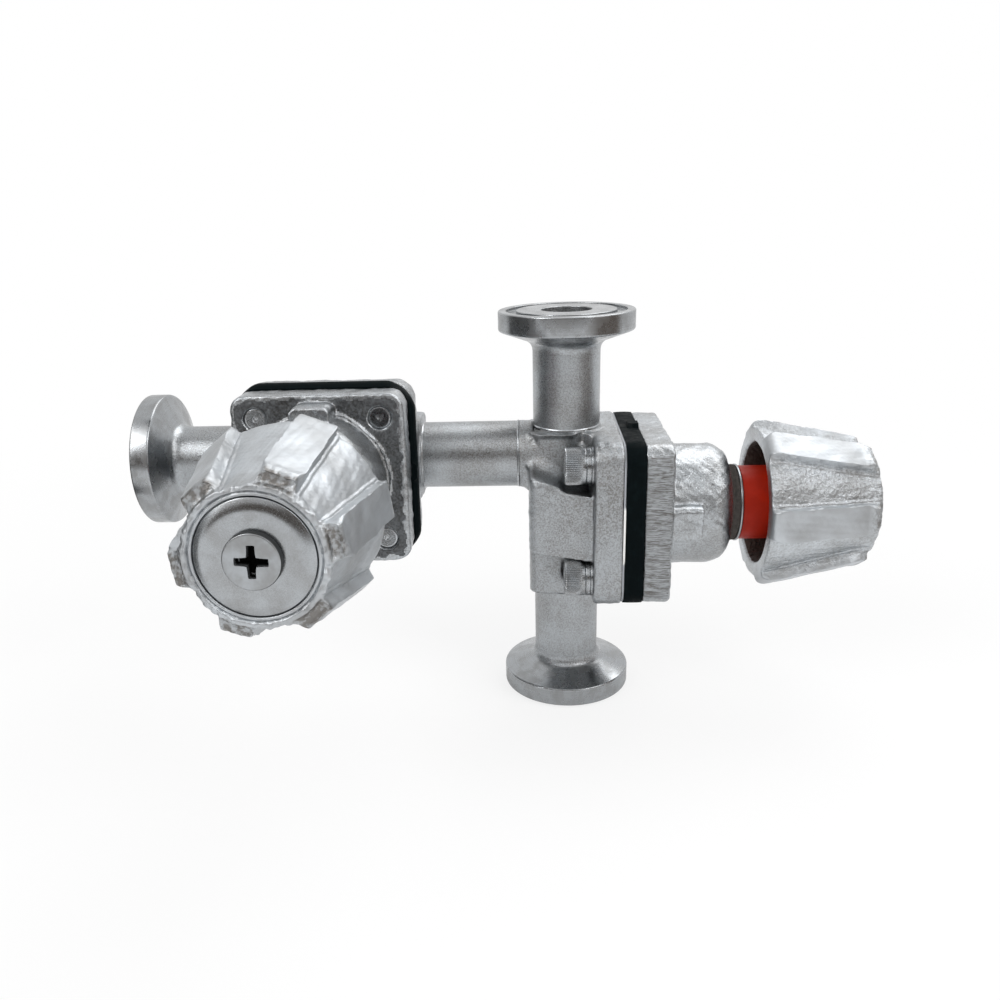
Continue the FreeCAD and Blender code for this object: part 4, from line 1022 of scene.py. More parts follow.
FACING_TOP = 10.15 * MM
RUBBER_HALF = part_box("diaphragm_rubber_b")[1].y
FACING_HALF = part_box("diaphragm_facing_b")[1].y
TAB_START = FACING_TOP + 0.4 * (BONNET_BASE - FACING_TOP)
TAB_REACH = 0.8 * MM
TAB_SIDES = (1.25 * MM, 1.5 * MM)
LIP_REACH = 0.5 * MM
LIP_MIDDLE = -1.1 * MM
LIP_SIDES = (4.9 * MM, 5.4 * MM)
SQUEEZED = {"a": 0.8 * MM, "b": 0.1 * MM}


def rubber_tab(path, height):
    """The locating tab stands out in the middle of the side that faces along the run."""
    on_side = (path[:, 0] > RUBBER_HALF - 0.5 * MM) & (height > TAB_START)
    return on_side * TAB_REACH * (1 - smooth_step(np.abs(path[:, 1]), *TAB_SIDES))


def facing_lip(path, height):
    """The facing creeps out, at any height, along part of the two sides that face across the run."""
    on_side = np.abs(path[:, 1]) > FACING_HALF - 0.5 * MM
    return on_side * LIP_REACH * (1 - smooth_step(np.abs(path[:, 0] - LIP_MIDDLE), *LIP_SIDES))


RUBBER_SOFT = 0.3 * MM
RUBBER_DISH = 2 * MM
FACING_BULGE = 0.02 * MM
FACING_SOFT = 0.05 * MM
FACING_DISH = 0.33 * MM
WEIR = 5.9 * MM
DISH_SECTORS = 6
DISH_EDGE = 9.2 * MM
DISH_CLAMPED = 8.5 * MM
DISH_FLAT = 4.5 * MM


def dish_sector(name, place, bottom, middle, thickness, number):
    """Sector of a dish of even thickness: level under the compressor's flat, then a cone to the edge.

    The closed profile turns through one sector's angle, and a flat face closes each end.
    """
    lower = np.array([(0, middle), (DISH_FLAT, middle), (DISH_CLAMPED, bottom), (DISH_EDGE, bottom)])
    profile = evenly(np.vstack([lower, lower[::-1] + (0, thickness)]), 0.4 * MM)
    angles = (number + np.linspace(0, 1, 17)) * TURN / DISH_SECTORS
    points = turned_points(profile[:, 0], angles[:, None], profile[:, 1])
    return surface(name, points, place, closed_u=False, crease=40, capped=True)


def make_dish(valve, kind, material, bottom, middle, thickness):
    """The dish in sectors, each shaped at rest to the compressor inside and to the manifold at its edge.
    """
    for number in range(DISH_SECTORS):
        name = "%s_dish_%s_%d" % (kind, valve.suffix, number)
        piece = dish_sector(name, valve.frame, bottom, middle, thickness, number)
        dress(piece, material)
        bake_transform(piece)
        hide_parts("diaphragm_" + kind + "_" + valve.suffix)


def make_diaphragm(valve):
    """Rubber and facing, each a plate between the flanges with a dish inside it."""
    rubber = moulded_rubber()
    plate = square_ring("rubber_plate_" + valve.suffix, RUBBER_HALF, FACING_TOP, BONNET_BASE,
                        SQUEEZED[valve.suffix], RUBBER_SOFT, valve.frame, rubber_tab)
    finish_piece(plate, rubber, valve.body, "diaphragm_rubber", "diaphragm_rubber_" + valve.suffix)
    white = fluoropolymer_facing()
    plate = square_ring("facing_plate_" + valve.suffix, FACING_HALF, FLANGE_FACE, FACING_TOP,
                        FACING_BULGE, FACING_SOFT, valve.frame, facing_lip)
    finish_piece(plate, white, valve.body, "diaphragm_facing", "diaphragm_facing_" + valve.suffix)
    make_dish(valve, "rubber", rubber, FACING_TOP, WEIR + 0.35 * MM + valve.lift, RUBBER_DISH)
    make_dish(valve, "facing", white, FLANGE_FACE, WEIR + valve.lift, FACING_DISH)


SLEEVE_BORE = 5.6 * MM


def make_sleeve(valve):
    """Red ring round the spindle's bush that shows how far the wheel has come up."""
    low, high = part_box("indicator_sleeve_b")
    outline = rounded(ring_corners(SLEEVE_BORE, (high.y - low.y) / 2, low.x, high.x), 0.3 * MM)
    piece = lathe("dressed_sleeve_" + valve.suffix, outline, valve.frame, segments=160)
    finish_piece(piece, sleeve_plastic(), valve.body, "indicator_red", "indicator_sleeve_" + valve.suffix)


RIGHT_LIFT = -JOINTS["compressor_slide_b"]["range_m"][0]
WHEEL_START = start_of("handwheel_b") - RIGHT_LIFT
WHEEL_LENGTH = top_of("handwheel_b") - start_of("handwheel_b")
WHEEL_TURN = {"a": math.radians(9.5), "b": math.radians(28.8)}
# How pitted each wheel's valleys are, and how lumpy its small end is.
WHEEL_HAMMERED = {"a": 0.14, "b": 0.9}
WHEEL_LUMPS = {"a": 1.0, "b": 0.45}
WHEEL_SEGMENTS = 720
WALL_DEPTH = 1.0 * MM
WHEEL_MOUTH = 11.9 * MM
WHEEL_CAVITY = 8.6 * MM
WHEEL_WEB = 15.0 * MM
WHEEL_HOLE = 3.85 * MM
WHEEL_LARGE = 14.6 * MM
WHEEL_SMALL = 10.0 * MM
LOBE_LARGE = 16.4 * MM
LOBE_SMALL = 12.0 * MM
LOBE_WIDTH = 6.3 * MM
LOBE_COUNT = 6
LOBE_RIPPLE = 0.12 * MM
END_LENGTH = 1.7 * MM
END_DROP = 1.5 * MM
END_START = WHEEL_LENGTH - 0.3 * MM - END_LENGTH
MOUTH_LENGTH = 2.6 * MM
MOUTH_DROP = 1.8 * MM
NEAR_MOUTH = (0.2 * MM, 1.6 * MM)
NEAR_END = (WHEEL_LENGTH - 3.2 * MM, WHEEL_LENGTH - 1.6 * MM)
END_FACE = WHEEL_LENGTH - 0.6 * MM
END_LIP = 0.3 * MM
END_STEP = 0.8 * MM
END_GROOVE = 9.3 * MM
CAP_RECESS = 8.7 * MM
CAP_SEAT = 19.9 * MM


def wheel_wall(height):
    """Radius of the valleys' cone."""
    return WHEEL_LARGE + (WHEEL_SMALL - WHEEL_LARGE) * height / WHEEL_LENGTH


def outer_share(radius, height):
    """1 on the outer wall, fading out inwards over the mouth's face and the small end's face."""
    mouth = smooth_step(radius, WHEEL_MOUTH + 0.6 * MM, WHEEL_LARGE - 0.2 * MM)
    end = smooth_step(radius, CAP_RECESS + 0.15 * MM, WHEEL_SMALL - 0.2 * MM)
    outer = np.where(height < 0.6 * MM, mouth, radius > wheel_wall(height) - WALL_DEPTH)
    return np.where(height > WHEEL_LENGTH - 0.56 * MM, end, outer)


def lobe_share(angle, height, crest, soft):
    """How far a point stands on a lobe, 0 in a valley and 1 on the crest, and the crest's flattening.

    Each flank is a tall smooth step at the lobe's edge and a low one a little outside it. Where
    soft is 1 the tall step is wide, where it is 0 it is crisp. The crest is between flat and round.
    """
    pitch = TURN / LOBE_COUNT
    off_crest = np.abs((angle + pitch / 2) % pitch - pitch / 2)
    ripple = np.sin(angle * 5 + height / (3.1 * MM)) * np.sin(angle * 11 - height / (1.9 * MM))
    across = crest * np.sin(off_crest) + LOBE_RIPPLE * ripple
    edge = LOBE_WIDTH / 2
    tall = 1 - smooth_step(across, edge - (0.24 + 0.8 * soft) * MM, edge + (0.08 + 0.25 * soft) * MM)
    low = 1 - smooth_step(across, edge + 0.45 * MM, edge + 0.95 * MM)
    flatter = 0.8 * crest * (1 / np.cos(np.minimum(off_crest, 0.4)) - 1)
    return 0.88 * tall + 0.12 * low, flatter * tall


def quarter_drop(depth, share):
    """How far a surface has dropped along a quarter of an ellipse: depth (1 - sqrt(1 - s^2))."""
    return depth * (1 - np.sqrt(1 - share ** 2))


def end_rise(grown, height, share, lumps):
    """How far the small end's face rises: a lip outside the cap's groove, and steps at the lobes."""
    step = smooth_step(grown, WHEEL_SMALL + 0.15 * MM, WHEEL_SMALL + 0.55 * MM) * share
    lip = smooth_step(grown, END_GROOVE, END_GROOVE + 0.3 * MM)
    rise = lip * (0.12 + 0.1 * lumps) * MM - bell(grown - END_GROOVE, 0.13 * MM) * 0.3 * MM
    return (height > END_FACE) * (rise - step * (END_STEP + 0.12 * MM * lumps))


def wheel_outline():
    """Closed outline of the valleys, (radius, height).

    Its points are close together where the lobes end, further apart outside and furthest inside.
    """
    corners = np.array([
        (WHEEL_HOLE, WHEEL_WEB), (WHEEL_CAVITY, WHEEL_WEB), (WHEEL_MOUTH, 0), (WHEEL_LARGE, 0),
        (WHEEL_SMALL, WHEEL_LENGTH), (CAP_RECESS, WHEEL_LENGTH), (CAP_RECESS, CAP_SEAT),
        (WHEEL_HOLE, CAP_SEAT),
    ])
    outline = rounded(corners, np.array([0, 1.0, 0.5, 0.6, 0.55, 0.25, 0, 0]) * MM)
    sides = []
    for start, end in zip(outline, np.roll(outline, -1, 0)):
        radius, height = (start + end) / 2
        outside = radius > wheel_wall(height) - WALL_DEPTH
        spacing = 0.45 * MM if outside else 1.2 * MM
        if height > WHEEL_LENGTH - 0.1 * MM:
            spacing = 0.09 * MM
        elif outside and height > WHEEL_LENGTH - 3.5 * MM:
            spacing = 0.2 * MM
        sides.append(evenly(np.array([start, end]), spacing, closed=False)[:-1])
    return np.vstack(sides)


def lobed_wheel(outline, lumpy):
    """Points of the turned outline with its lobes, and the marks that the wheel's steel reads.

    A lobe moves each point of the outer wall from the valley's cone out to the crest's cone. The
    move fades in over the mouth's face and over the small end's face. Before the small end the
    lobe gets lumps and softer flanks, and then drops along a quarter of an ellipse, as it also
    does at the mouth; the valleys end in a low lip.
    """
    radius, height = outline[:, :1], outline[:, 1:]
    angle = all_round(WHEEL_SEGMENTS)
    x, y, z = np.moveaxis(turned_points(radius, angle, height), -1, 0)
    wall, outer = wheel_wall(height), outer_share(radius, height)
    crest = LOBE_LARGE + (LOBE_SMALL - LOBE_LARGE) * height / WHEEL_LENGTH
    near_end = smooth_step(height, *NEAR_END)
    near_mouth = 1 - smooth_step(height, *NEAR_MOUTH)
    share, flatter = lobe_share(angle, height, crest, np.maximum(near_end, 0.5 * near_mouth))
    lumps = lumpy * (waves(x, y, 0.6 * z, 8, 2.6 * MM) + 0.6 * waves(x, y, z, 9, 1.4 * MM))
    past = np.clip((height - END_START) / END_LENGTH, 0, 1)
    before = np.clip(1 - height / MOUTH_LENGTH, 0, 1)
    growth = crest - wall + flatter + near_end * (0.14 + 0.09 * lumps) * MM
    growth = growth - quarter_drop(END_DROP, past) - quarter_drop(MOUTH_DROP, before)
    lip = smooth_step(height, WHEEL_LENGTH - 1.7 * MM, END_FACE) * outer * (1 - share)
    grown = radius + share * outer * growth + lip * END_LIP * (1 + 0.25 * lumps)
    skin = 0.7 * waves(x, y, z, 5, 4.5 * MM) + 0.4 * waves(x, y, z, 6, 1.1 * MM) * (1 - 0.5 * share)
    cast = (radius > wall - 3.0 * MM) & (radius >= CAP_RECESS + 0.2 * MM)
    grown = grown + skin * settings().cast_wander * cast * (1 + near_end * (2 * lumpy - 1.4))
    rise = near_end * outer * 0.05 * lumps * MM + end_rise(grown, height, share, lumps)
    # inside marks the wheel's cavity, painted dark brown by its steel as shade
    inside = (radius < wall - 1.6 * MM) & (height > 0.4 * MM) & (height < WHEEL_WEB + 0.5 * MM)
    outermost = smooth_step(grown, WHEEL_SMALL, WHEEL_SMALL + 0.4 * MM)
    marks = {
        "worn": share * outer * (1 - near_end),
        "inside": np.broadcast_to(inside, x.shape),
        "scarred": share * near_end * smooth_step(past, 0.15, 0.5) * outermost * outer,
    }
    return turned_points(grown, angle, z + rise), marks


def make_handwheel(valve):
    """Lobed wheel in cast steel, lifted as its valve stands at rest."""
    points, marks = lobed_wheel(wheel_outline(), WHEEL_LUMPS[valve.suffix])
    turned = Matrix.Rotation(WHEEL_TURN[valve.suffix], 4, "Z")
    place = valve.lifted() @ Matrix.Translation((0, 0, WHEEL_START)) @ turned
    piece = surface("cast_handwheel_" + valve.suffix, points, place, crease=60, marks=marks)
    light, dark = steels()
    finish = wheel_steel("handwheel_steel_" + valve.suffix, tint(light, 1.28), tint(dark, 1.3),
                         WHEEL_HAMMERED[valve.suffix])
    finish_piece(piece, finish, valve.wheel, "handwheel_steel", "handwheel_" + valve.suffix)


CAP_TOP = top_of("cap_plate_b") - RIGHT_LIFT
CAP_THICKNESS = 1.6 * MM
CAP_RADIUS = 8.55 * MM
CAP_BEVEL = 1.35 * MM
CAP_DROP = 0.42 * CAP_BEVEL
HEAD_TOP = top_of("cap_screw_b") - RIGHT_LIFT
HEAD_RADIUS = 4.1 * MM
SHANK_END = start_of("cap_screw_b") - RIGHT_LIFT
SHANK_RADIUS = 1.95 * MM
CROSS_TURN = {"a": math.radians(-12), "b": math.radians(20)}
CROSS_REACH = 2.35 * MM
CROSS_HALF = 0.5 * MM
CROSS_DEPTH = 1.9 * MM


def make_cap_plate(valve):
    """Round plate with a wide bevel in the wheel's small end."""
    hole = SHANK_RADIUS + 0.15 * MM
    seat = CAP_TOP - CAP_THICKNESS
    corners = [(hole, seat), (CAP_RADIUS, seat), (CAP_RADIUS, CAP_TOP - CAP_DROP),
               (CAP_RADIUS - CAP_BEVEL, CAP_TOP), (hole, CAP_TOP)]
    outline = rounded(corners, np.array([0, 0.1, 0.16, 0.9, 0]) * MM, steps=9)
    piece = lathe("bevelled_cap_" + valve.suffix, outline, valve.lifted(), segments=192, crease=50)
    finish = blasted_steel("cap_matte_" + valve.suffix, *steels(), rough=(0.2, 0.28),
                           pit=0.006, grain_size=0.2, patch_size=5, contrast=0.25)
    finish_piece(piece, finish, valve.wheel, "cap_steel", "cap_plate_" + valve.suffix)


def make_cap_screw(valve):
    """Screw as a turned outline whose head is cut by a cross: two crossing rounded slots.

    A slot's depth is a smooth step across its width, times one at its end, times a share that
    falls by 0.3 from the middle to the end.
    """
    corners = np.array([(0, HEAD_TOP), (HEAD_RADIUS, HEAD_TOP), (HEAD_RADIUS, CAP_TOP),
                        (SHANK_RADIUS, CAP_TOP), (SHANK_RADIUS, SHANK_END), (0, SHANK_END)])
    outline = rounded(corners, np.array([0, 0.35, 0.05, 0, 0.3, 0]) * MM, closed=False, steps=7)
    fine = evenly(outline, 0.06 * MM, closed=False)
    below = CAP_TOP - 0.01 * MM
    outline = np.vstack([fine[fine[:, 1] > below], outline[outline[:, 1] < below]])
    radius, height = outline[:, :1], outline[:, 1:]
    x, y, z = np.moveaxis(turned_points(radius, all_round(240), height), -1, 0)
    depth = np.zeros_like(x)
    for along, across in ((np.abs(x), np.abs(y)), (np.abs(y), np.abs(x))):
        reached = np.clip(along / CROSS_REACH, 0, 1)
        half = CROSS_HALF + 0.3 * MM * (1 - reached) ** 3
        end_share = 1 - smooth_step(along, CROSS_REACH - 0.2 * MM, CROSS_REACH)
        flank = 1 - smooth_step(across, half - 0.12 * MM, half + 0.06 * MM)
        depth = np.maximum(depth, end_share * flank * (1 - 0.3 * reached) * CROSS_DEPTH)
    depth = depth * (height > (CAP_TOP + HEAD_TOP) / 2)
    # the cross and the head's side get the mark of painted shade, which the screw's steel paints nearly
    # black
    at_side = (radius > HEAD_RADIUS - 0.12 * MM) & (height > below)
    painted_shade = np.maximum(smooth_step(depth, 0.1 * MM, 0.6 * MM), 0.8 * at_side)
    turned = WHEEL_TURN[valve.suffix] + CROSS_TURN[valve.suffix]
    place = valve.lifted() @ Matrix.Rotation(turned, 4, "Z")
    piece = surface("cross_screw_" + valve.suffix, np.stack([x, y, z - depth], -1), place,
                    closed_u=False, crease=40, marks={"painted_shade": painted_shade})
    finish = satin_screw("screw_satin_" + valve.suffix, *steels())
    finish_piece(piece, finish, valve.wheel, "fastener_steel", "cap_screw_" + valve.suffix)


# Each flange screw's corner, along and across the run, and the angle it is turned by.
SCREW_PLACES = ((1, 1, 0.3), (-1, 1, 1.0), (-1, -1, 1.7), (1, -1, 2.4))
SCREW_REACH = 11.0 * MM
SCREW_HEAD = 3.5 * MM
HEAD_SOFT = 0.6 * MM
SCREW_SHANK = 2.0 * MM
SCREW_START = start_of("flange_screw_b1")
SCREW_BEARING = FLANGE_BACK - 1.4 * MM
SCREW_TIP = top_of("flange_screw_b1")
HEX_FLAT = 1.5 * MM
HEX_DEPTH = 2.0 * MM
SPRING_GAP = 0.4 * MM
WASHER_HOLE = 2.15 * MM


def screw_outline():
    """(radius, height) of a flange screw, with close points on its head's end and its tip."""
    corners = np.array([(0, SCREW_START), (SCREW_HEAD, SCREW_START), (SCREW_HEAD, SCREW_BEARING),
                        (SCREW_SHANK, SCREW_BEARING), (SCREW_SHANK, SCREW_TIP), (0, SCREW_TIP)])
    rounds = [0, HEAD_SOFT, 0.3 * MM, 0, 0.35 * MM, 0]
    outline = rounded(corners, rounds, closed=False, steps=7)
    head = np.array([(0, SCREW_START), (SCREW_HEAD - HEAD_SOFT, SCREW_START)])
    tip = np.array([(SCREW_SHANK - 0.4 * MM, SCREW_TIP), (0, SCREW_TIP)])
    return np.vstack([
        evenly(head, 0.12 * MM, closed=False),
        evenly(outline[7:], 0.6 * MM, closed=False)[:-1],
        evenly(tip, 0.15 * MM, closed=False),
    ])


def make_flange_screw(valve, number):
    """Socket-head screw with its washers: a turned outline with knurls and a six-sided socket.

    Knurls take a small share off the radius by |sin|; a point is in the socket where its
    greatest projection on the three flat normals is under half the width across flats.
    """
    sizes = settings()
    outline = screw_outline()
    angle = all_round(sizes.knurl_count * 6)
    radius, height = outline[:, :1], outline[:, 1:]
    on_side = (radius > SCREW_HEAD - 0.3 * MM) & (height < SCREW_BEARING - 0.9 * MM)
    radius = radius - sizes.knurl_depth * (1 - np.abs(np.sin(angle * sizes.knurl_count / 2))) * on_side
    x, y, z = np.moveaxis(turned_points(radius, angle, height), -1, 0)
    flats = [np.abs(x * math.cos(a) + y * math.sin(a)) for a in np.radians((90, 150, 210))]
    inside = 1 - smooth_step(np.max(flats, axis=0), HEX_FLAT - 0.06 * MM, HEX_FLAT + 0.06 * MM)
    socket = inside * HEX_DEPTH * (height < SCREW_START + 0.1 * MM)
    dimple = 0.3 * MM * (1 - smooth_step(radius, 0.15 * MM, 0.45 * MM)) * (height > SCREW_TIP - 0.02 * MM)
    along, across, turn = SCREW_PLACES[number]
    upright = valve.frame @ Matrix.Translation((along * SCREW_REACH, across * SCREW_REACH, 0))
    place = upright @ Matrix.Rotation(turn, 4, "Z")
    name = "%s%d" % (valve.suffix, number + 1)
    points = np.stack([x, y, z + socket - dimple], -1)
    pieces = {
        "flange_screw_": surface("knurled_screw_" + name, points, place, closed_u=False, crease=40),
        "spring_washer_": washer("spring_washer_", name, upright, SPRING_GAP),
        "flat_washer_": washer("flat_washer_", name, upright, 0),
    }
    for kind, piece in pieces.items():
        finish_piece(piece, bright_fastener(), valve.body, "fastener_steel", kind + name)


def washer(kind, name, place, gap):
    """Ring with rounded edges; a spring washer is open by a gap on the side away from local y.

    The open ends are closed by one more column each, whose points all lie in the section's middle.
    """
    low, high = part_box(kind + "b1")
    outer = (high.y - low.y) / 2
    outline = rounded(ring_corners(WASHER_HOLE, outer, low.x, high.x), 0.16 * MM)
    if gap == 0:
        return lathe("ring_" + kind + name, outline, place, segments=96)
    half = gap / 2 / outer
    angle = -math.pi / 2 + half + np.linspace(0, 1, 97) * (TURN - 2 * half)
    angle = np.concatenate([angle[:1], angle, angle[-1:]])
    radius, height = (np.repeat(column[:, None], len(angle), 1) for column in outline.T)
    for end in (0, -1):
        radius[:, end], height[:, end] = outline.mean(0)
    return surface("ring_" + kind + name, turned_points(radius, angle, height), place, closed_v=False)


def bright_fastener():
    """Bright steel of all flange screws and washers, made once."""
    made = bpy.data.materials.get("bright_fastener")
    if made is not None:
        return made
    light, dark = steels()
    return blasted_steel("bright_fastener", tint(light, 1.05), dark, rough=(0.2, 0.32), pit=0.004,
                         grain_size=0.15, patch_size=2)


def make_inner_parts(valve):
    """Turned steel for the pieces inside, which keep their form."""
    turned = turned_steel("turned_spindle_" + valve.suffix, valve.frame, *steels())
    for node in ("spindle_bush_", "spindle_", "compressor_", "diaphragm_stud_"):
        dress(frame["nodes"][node + valve.suffix], turned)


class VALVE_OT_stage(bpy.types.Operator):
    """Make the camera, the lamps, the world, the floor and the dark cards that steel reflects"""

    bl_idname = "valve.stage"
    bl_label = "Stage"

    def execute(self, context):
        make_camera()
        make_lamps()
        make_world()
        make_floor()
        make_cards()
        context.scene.view_settings.view_transform = "Standard"
        return {"FINISHED"}


CAMERA_PLACE = Vector((-6.5, -169.3, 95.45)) * MM
CAMERA_YAW = math.radians(3.68)
CAMERA_PITCH = math.radians(19.86)
CAMERA_ROLL = math.radians(1.91)
FOCAL_PIXELS = 895.0
OPTICAL_CENTRE = (479.5, 524.9)
IMAGE_SIDE = 1000.0
SENSOR = 36.0


def make_camera():
    """Camera whose view axis meets the picture at the optical centre, in pixels."""
    looking = (Matrix.Rotation(CAMERA_YAW, 3, "Z") @ Matrix.Rotation(-CAMERA_PITCH, 3, "X")
               @ Matrix.Rotation(CAMERA_ROLL, 3, "Y"))
    right, forward, up = looking.col
    lens = bpy.data.cameras.new("camera")
    lens.sensor_width = SENSOR
    lens.lens = SENSOR * FOCAL_PIXELS / IMAGE_SIDE
    lens.shift_x = 0.5 - OPTICAL_CENTRE[0] / IMAGE_SIDE
    lens.shift_y = OPTICAL_CENTRE[1] / IMAGE_SIDE - 0.5
    lens.clip_start = 0.01
    camera = add_object("camera", lens)
    turned = Matrix((right, up, -forward)).transposed().to_4x4()
    camera.matrix_world = Matrix.Translation(CAMERA_PLACE) @ turned
    bpy.context.scene.camera = camera


LAMP_AIM = Vector((-0.01, -0.02, 0.04))
# Name, place in m, side in m and power in W.
LAMPS = (
    ("key", (-0.55, -0.38, 0.5), 0.45, 3.4),
    ("fill", (0.5, -0.3, 0.42), 0.45, 2.4),
    ("back", (0.22, 0.33, 0.62), 0.5, 1.85),
)


def make_lamps():
    """Square lamps of a place, a size and a power, all turned to one point of the object."""
    for name, place, size, power in LAMPS:
        light = bpy.data.lights.new(name, "AREA")
        light.shape = "SQUARE"
        light.size = size
        light.energy = power
        lamp = add_object(name, light)
        lamp.location = place
        lamp.rotation_mode = "QUATERNION"
        lamp.rotation_quaternion = (LAMP_AIM - Vector(place)).to_track_quat("-Z", "Y")


WORLD_LIGHT = 0.45
WORLD_MIRRORED = 0.9


def make_world():
    """White to the camera, a little less in reflections, a soft grey light on everything else."""
    world = bpy.data.worlds.new("studio")
    world.use_nodes = True
    nodes = Nodes(world.node_tree)
    values = {"Value": nodes.ray("Glossy"), "To Min": WORLD_LIGHT, "To Max": WORLD_MIRRORED}
    seen = nodes.ray("Camera").larger(nodes.ray("Transmission"))
    level = nodes.node("ShaderNodeMapRange", {}, values).larger(seen)
    ground = world.node_tree.nodes["Background"]
    ground.inputs["Color"].default_value = (1, 1, 1, 1)
    world.node_tree.links.new(level.socket, ground.inputs["Strength"])
    bpy.context.scene.world = world


FLOOR_RADIUS = 1500 * MM
FLOOR_HEIGHT = -0.5 * MM
FLOOR_FADE = (0.12, 0.3)
FLOOR_NEAR = 0.8
FLOOR_MIRRORED = 0.3


def make_floor():
    """Pale disc under the bottom ferrule, nearly white to the camera."""
    paint = Paint("floor", roughness=0.9, colour=colours().floor)
    x, y, _ = paint.split(paint.place())
    far = paint.fit((x * x + y * y) ** 0.5, *FLOOR_FADE, FLOOR_NEAR, 1.0)
    share = paint.ray("Camera") * far + paint.ray("Glossy") * FLOOR_MIRRORED
    glow = paint.node("ShaderNodeEmission", {}, {"Color": (1, 1, 1, 1), "Strength": 1.0})
    lit = Signal(paint, paint.shader.outputs[0])
    mixed = paint.node("ShaderNodeMixShader", {}, {0: share, 1: lit, 2: glow})
    output = paint.tree.nodes["Material Output"]
    paint.tree.links.new(mixed.socket, output.inputs["Surface"])
    outline = np.array([(0, FLOOR_HEIGHT), (FLOOR_RADIUS, FLOOR_HEIGHT)])
    floor = lathe("floor", outline, Matrix(), closed=False, segments=64)
    dress(floor, paint.material)


# Lengths in mm: (reach, height) outlines, then each card's name, middle, outline, first and last
# angle in degrees and colour; the hood's left, right, front, back and height.
SIDE_CARD = ((170, 6), (260, 60), (310, 190), (320, 300))
CARDS = (
    ("card_left", -30.0, ((95, 1),) + SIDE_CARD, -114.0, -48.0, (0.03, 0.03, 0.03)),
    ("card_right", 20.0, ((165, 1),) + SIDE_CARD, 36.0, 94.0, (0.13, 0.1, 0.08)),
    ("card_front", 0.0, ((300, 50), (300, 190)), -46.0, 34.0, (0.1, 0.08, 0.065)),
)
HOOD = (-190, 190, -100, -25, 330)


def make_cards():
    """Dark curved sheets at both sides and in front and a dark hood above; only reflections show them."""
    for name, middle, outline, first, last, shade in CARDS:
        angles = np.radians(np.linspace(first, last, 17))
        add_card(name, [[(middle + reach * math.sin(a), -reach * math.cos(a), height)
                         for reach, height in outline] for a in angles], shade)
    left, right, front, back, height = HOOD
    add_card("hood", [[(x, y, height) for y in (front, back)] for x in (left, right)], (0.06, 0.06, 0.06))


def add_card(name, points, shade):
    """Sheet through a grid of points in mm that only reflections show."""
    card = surface(name, np.array(points) * MM, Matrix(), closed_u=False, closed_v=False)
    dress(card, Paint(name, roughness=1.0, colour=shade).material)
    card.visible_camera = False
    card.visible_diffuse = False
    card.visible_shadow = False
    card.visible_transmission = False


class VALVE_OT_ferrules(bpy.types.Operator):
    """Turn the three ferrules with their short tubes"""

    bl_idname = "valve.ferrules"
    bl_label = "Clamp ferrules"

    def execute(self, context):
        for side in ("left", "top", "bottom"):
            make_ferrule(side)
        return {"FINISHED"}


class VALVE_OT_link(bpy.types.Operator):
    """Make the tube between the two bodies and the weld beads of all tubes"""

    bl_idname = "valve.link"
    bl_label = "Link tube and welds"

    def execute(self, context):
        make_link_tube()
        make_welds()
        return {"FINISHED"}


class VALVE_OT_bodies(bpy.types.Operator):
    """Grow the two cast bodies with their softened edges"""

    bl_idname = "valve.bodies"
    bl_label = "Valve bodies"

    def execute(self, context):
        for suffix in VALVES:
            make_valve_body(Valve(suffix))
        return {"FINISHED"}


class VALVE_OT_diaphragms(bpy.types.Operator):
    """Make the rubber diaphragms and their white facings"""

    bl_idname = "valve.diaphragms"
    bl_label = "Diaphragms"

    def execute(self, context):
        for suffix in VALVES:
            make_diaphragm(Valve(suffix))
        return {"FINISHED"}


class VALVE_OT_bonnets(bpy.types.Operator):
    """Grow the two cast bonnets with their turned necks"""

    bl_idname = "valve.bonnets"
    bl_label = "Bonnets"

    def execute(self, context):
        for suffix in VALVES:
            make_bonnet(Valve(suffix))
        return {"FINISHED"}


class VALVE_OT_sleeves(bpy.types.Operator):
    """Turn the red indicator sleeves"""

    bl_idname = "valve.sleeves"
    bl_label = "Indicator sleeves"

    def execute(self, context):
        for suffix in VALVES:
            make_sleeve(Valve(suffix))
        return {"FINISHED"}


class VALVE_OT_handwheels(bpy.types.Operator):
    """Shape the two lobed, tapered handwheels"""

    bl_idname = "valve.handwheels"
    bl_label = "Handwheels"

    def execute(self, context):
        for suffix in VALVES:
            make_handwheel(Valve(suffix))
        return {"FINISHED"}


class VALVE_OT_caps(bpy.types.Operator):
    """Make the cap plates and their cross-recessed screws"""

    bl_idname = "valve.caps"
    bl_label = "Caps and cap screws"

    def execute(self, context):
        for suffix in VALVES:
            make_cap_plate(Valve(suffix))
            make_cap_screw(Valve(suffix))
        return {"FINISHED"}


class VALVE_OT_fasteners(bpy.types.Operator):
    """Make the knurled flange screws with their washers"""

    bl_idname = "valve.fasteners"
    bl_label = "Flange screws"

    def execute(self, context):
        for suffix in VALVES:
            for number in range(len(SCREW_PLACES)):
                make_flange_screw(Valve(suffix), number)
        return {"FINISHED"}


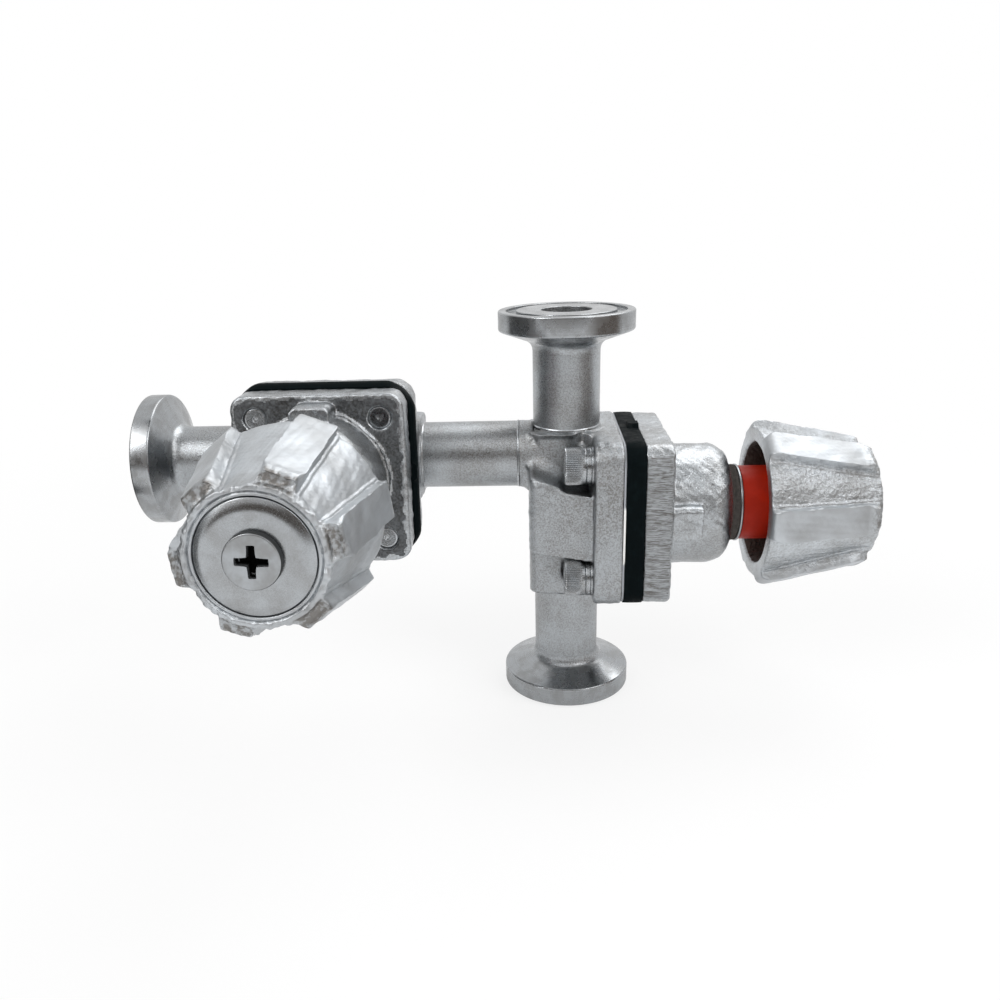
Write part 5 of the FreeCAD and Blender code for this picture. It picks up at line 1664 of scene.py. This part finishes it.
class VALVE_OT_inner(bpy.types.Operator):
    """Give the spindles, bushes, compressors and studs their turned steel"""

    bl_idname = "valve.inner"
    bl_label = "Inner mechanism"

    def execute(self, context):
        for suffix in VALVES:
            make_inner_parts(Valve(suffix))
        return {"FINISHED"}


PIECES = (
    VALVE_OT_ferrules,
    VALVE_OT_link,
    VALVE_OT_bodies,
    VALVE_OT_diaphragms,
    VALVE_OT_bonnets,
    VALVE_OT_sleeves,
    VALVE_OT_handwheels,
    VALVE_OT_caps,
    VALVE_OT_fasteners,
    VALVE_OT_inner,
)


class VALVE_PT_panel(bpy.types.Panel):
    """Sidebar panel with the stage, the pieces and their settings"""

    bl_label = "Valve manifold"
    bl_idname = "VALVE_PT_panel"
    bl_space_type = "VIEW_3D"
    bl_region_type = "UI"
    bl_category = "Valve"

    def draw(self, context):
        column = self.layout.column(align=True)
        for made in (VALVE_OT_stage,) + PIECES:
            column.operator(made.bl_idname)
        for group in (context.scene.valve_sizes, context.scene.valve_colours):
            column = self.layout.column(align=True)
            for setting in group.bl_rna.properties:
                if setting.identifier not in ("name", "rna_type"):
                    column.prop(group, setting.identifier)


CLASSES = (ValveSizes, ValveColours, VALVE_OT_stage) + PIECES + (VALVE_PT_panel,)


def register():
    for made in CLASSES:
        bpy.utils.register_class(made)
    bpy.types.Scene.valve_sizes = bpy.props.PointerProperty(type=ValveSizes)
    bpy.types.Scene.valve_colours = bpy.props.PointerProperty(type=ValveColours)


def unregister():
    del bpy.types.Scene.valve_colours
    del bpy.types.Scene.valve_sizes
    for made in reversed(CLASSES):
        bpy.utils.unregister_class(made)


def main():
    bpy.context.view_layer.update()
    register()
    bpy.ops.valve.stage()
    bpy.ops.valve.ferrules()
    bpy.ops.valve.link()
    bpy.ops.valve.bodies()
    bpy.ops.valve.diaphragms()
    bpy.ops.valve.bonnets()
    bpy.ops.valve.sleeves()
    bpy.ops.valve.handwheels()
    bpy.ops.valve.caps()
    bpy.ops.valve.fasteners()
    bpy.ops.valve.inner()


if __name__ == "__main__":
    main()
